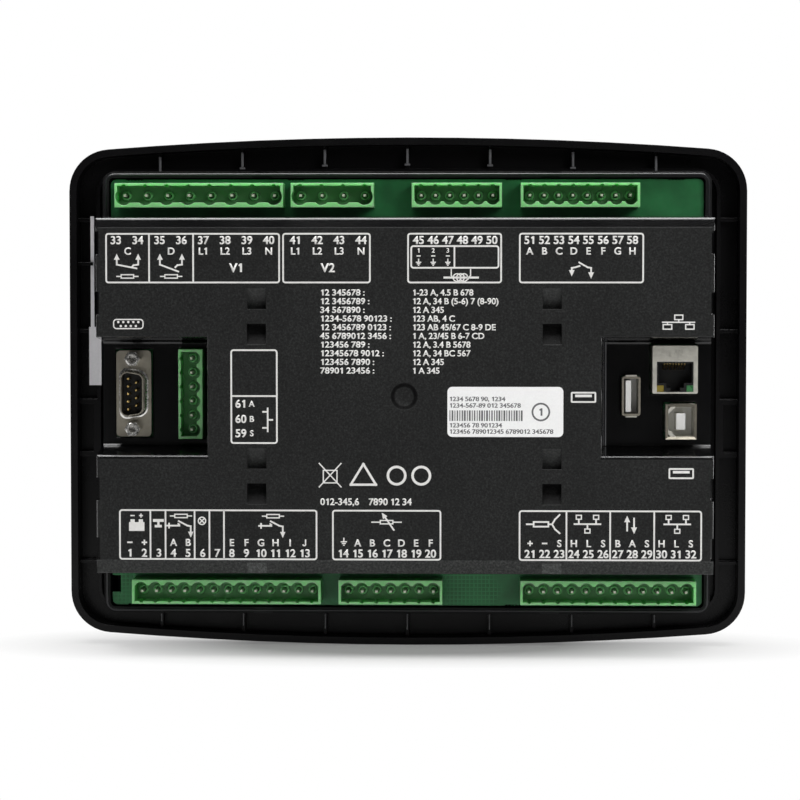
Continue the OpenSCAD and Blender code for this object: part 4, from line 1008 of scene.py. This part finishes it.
# data ports: flared square mouth of the device port, lips of the host port
dataPorts = {"device": (-97.5, -9.5), "deviceHalf": (5.5, 6.25), "deviceMouth": 21.75,
             "flare": ((0.95, -0.55), (0.05, -0.25)),
             "host": (-79.9, -0.5), "hostHalf": 7.0, "lip": (2.0, 0.55), "lipFrom": 19.8, "lipTo": 21.15,
             "lipSoft": 0.15}


def deviceFlare():
    x, z = dataPorts["device"]
    bm = bmesh.new()
    corners = sheet(bm, Matrix.Translation((-x, z, 0)) @ flatSize(*dataPorts["deviceHalf"]), 1.0)
    stepFace(bm, corners[0].link_faces[0], dataPorts["flare"])
    bm.transform(readFromRear(dataPorts["deviceMouth"]))
    finishPiece(bm, "deviceFlare", dullShell)


def lipBlocks():
    x, z = dataPorts["host"]
    half, rise = dataPorts["lip"]
    for side in (-1, 1):
        inner = z + side * dataPorts["hostHalf"]
        low, high = sorted((inner, inner + side * rise))
        yield ((x - half, dataPorts["lipFrom"], low), (x + half, dataPorts["lipTo"], high),
               dataPorts["lipSoft"])


deviceFlare()
blockPiece("hostLips", lipBlocks(), finishes["nickel_shell"])
print("ports finished")


# studio: white sweep, softboxes above, below and beside, dark and bright cards that only gloss sees
studio = {
    "floorGap": 0.2 * mm, "floorSize": 9.0, "floorTone": (0.62, 0.62, 0.61), "shadowReach": (0.16, 0.062),
    "shadowCore": 0.35, "paperGlow": 0.17, "roomFill": 0.22, "background": 1.0,
    "softbox": {"place": (-0.05, 0.14, 1.0), "aim": (-0.05, 0.1, 0), "size": (1.2, 0.5), "power": 12.0},
    "tablePanel": {"place": (0, 0.22, -0.09), "aim": (0, 0.2, 1), "size": (0.8, 0.3), "power": 0.35},
    "sideBox": {"place": (-0.75, 1.05, 0.6), "aim": (0, 0, 0), "size": (0.6, 0.5), "power": 6.2},
    "sideStrip": {"place": (-0.9, -0.08, 0.12), "aim": (-0.1, 0, 0), "size": (0.2, 0.7), "power": 1.2},
    "farStrip": {"place": (0.9, -0.08, 0.12), "aim": (0.1, 0, 0), "size": (0.2, 0.7), "power": 0.8},
    "brightCards": {
        "brightCardTop": {"place": (0, 0.08, 0.95), "turn": 0, "size": (1.6, 0.95), "glow": 14.0},
        "brightCardRight": {"place": (-0.62, -0.26, 0.15), "turn": 90, "size": (0.9, 0.14), "glow": 8.0},
        "brightCardLeft": {"place": (0.62, -0.26, 0.15), "turn": 90, "size": (0.9, 0.14), "glow": 4.0}},
    "darkCards": {"tone": 0.05, "size": (1.4, 1.3), "distance": 0.66, "height": 0.5},
}
camera = {"place": (-0.0262, 0.970, 0.0396), "pitch": 90 - 2.506, "turn": 181.697, "lens": 120.58,
          "sensor": 36, "clip": (0.01, 50)}


def addPlane(name, matrix, material):
    bm = bmesh.new()
    sheet(bm, matrix)
    mesh = bpy.data.meshes.new(name)
    bm.to_mesh(mesh)
    bm.free()
    plane = bpy.data.objects.new(name, mesh)
    mesh.materials.append(material)
    scene.collection.objects.link(plane)
    return plane


# 1 for rays of the camera, of gloss and of clear pieces
def seenRay(tree):
    ray = addNode(tree, "ShaderNodeLightPath").outputs
    seen = calc(tree, "MAXIMUM", ray["Is Camera Ray"], ray["Is Glossy Ray"])
    return calc(tree, "MAXIMUM", seen, ray["Is Transmission Ray"])


def sweepMaterial():
    material, tree, shader, place = startMaterial("paperSweep")
    cloud = noise(tree, place, 3, 2)
    setInputs(tree, shader, {"Base Color": mottle(tree, cloud, studio["floorTone"], 0.99), "Roughness": 0.9,
                             "Specular IOR Level": 0.1})
    # near the part the paper takes its shadow, farther out it is the white backdrop
    reachX, reachY = studio["shadowReach"]
    reach = reachOf(tree, stretched(tree, place, (1 / reachX, 1 / reachY, 0)))
    fade = spread(tree, reach, studio["paperGlow"], 1.0, (studio["shadowCore"], 1.0))
    share = times(tree, fade, seenRay(tree))
    white = addNode(tree, "ShaderNodeEmission", {"Strength": studio["background"]})
    blend = addNode(tree, "ShaderNodeMixShader", {0: share, 1: shader.outputs["BSDF"],
                                                  2: white.outputs["Emission"]})
    tree.links.new(blend.outputs["Shader"], tree.nodes["Material Output"].inputs["Surface"])
    return material


def seenByGloss(card):
    card.visible_camera = card.visible_diffuse = card.visible_shadow = card.visible_transmission = False


def cardMaterial(name, strength):
    material = bpy.data.materials.new(name)
    material.use_nodes = True
    tree = material.node_tree
    tree.nodes.remove(tree.nodes["Principled BSDF"])
    glow = addNode(tree, "ShaderNodeEmission", {"Strength": strength})
    tree.links.new(glow.outputs["Emission"], tree.nodes["Material Output"].inputs["Surface"])
    return material


def addSoftbox(name, look):
    lamp = bpy.data.lights.new(name, "AREA")
    lamp.shape = "RECTANGLE"
    lamp.size, lamp.size_y = look["size"]
    lamp.energy = look["power"]
    holder = bpy.data.objects.new(name, lamp)
    holder.location = look["place"]
    aim = Vector(look["aim"]) - holder.location
    holder.rotation_euler = aim.to_track_quat("-Z", "Y").to_euler()
    holder.visible_camera = False
    scene.collection.objects.link(holder)


floorPlace = Matrix.Translation((0, 0, cadLow.z - studio["floorGap"]))
floorSize = flatSize(studio["floorSize"], studio["floorSize"])
addPlane("sweepFloor", floorPlace @ floorSize, sweepMaterial())
cards = studio["darkCards"]
dark = cardMaterial("darkCard", cards["tone"])
away = Matrix.Translation((0, cards["distance"], cards["height"])) @ Matrix.Rotation(math.pi / 2, 4, "X")
for quarter, side in enumerate(("Rear", "Left", "Front", "Right")):
    place = Matrix.Rotation(quarter * math.pi / 2, 4, "Z") @ away @ flatSize(*cards["size"])
    seenByGloss(addPlane("darkCard" + side, place, dark))
for name in ("softbox", "tablePanel", "sideBox", "sideStrip", "farStrip"):
    addSoftbox(name, studio[name])
for name, look in studio["brightCards"].items():
    place = Matrix.Translation(look["place"]) @ Matrix.Rotation(math.radians(look["turn"]), 4, "Y")
    size = flatSize(*look["size"])
    seenByGloss(addPlane(name, place @ size, cardMaterial(name, look["glow"])))

world = bpy.data.worlds.new("studioRoom")
world.use_nodes = True
scene.world = world
tree = world.node_tree
fill = tree.nodes["Background"]
fill.inputs["Color"].default_value = (1, 1, 1, 1)
fill.inputs["Strength"].default_value = studio["roomFill"]
backdrop = addNode(tree, "ShaderNodeBackground", {"Color": (1, 1, 1, 1), "Strength": studio["background"]})
choice = addNode(tree, "ShaderNodeMixShader", {0: seenRay(tree), 1: fill.outputs["Background"],
                                               2: backdrop.outputs["Background"]})
tree.links.new(choice.outputs["Shader"], tree.nodes["World Output"].inputs["Surface"])
scene.view_settings.view_transform = "Standard"

lens = bpy.data.cameras.new("camera")
lens.lens = camera["lens"]
lens.sensor_width = camera["sensor"]
lens.clip_start, lens.clip_end = camera["clip"]
viewer = bpy.data.objects.new("camera", lens)
viewer.location = camera["place"]
viewer.rotation_euler = (math.radians(camera["pitch"]), 0, math.radians(camera["turn"]))
scene.collection.objects.link(viewer)
scene.camera = viewer
print("studio set")
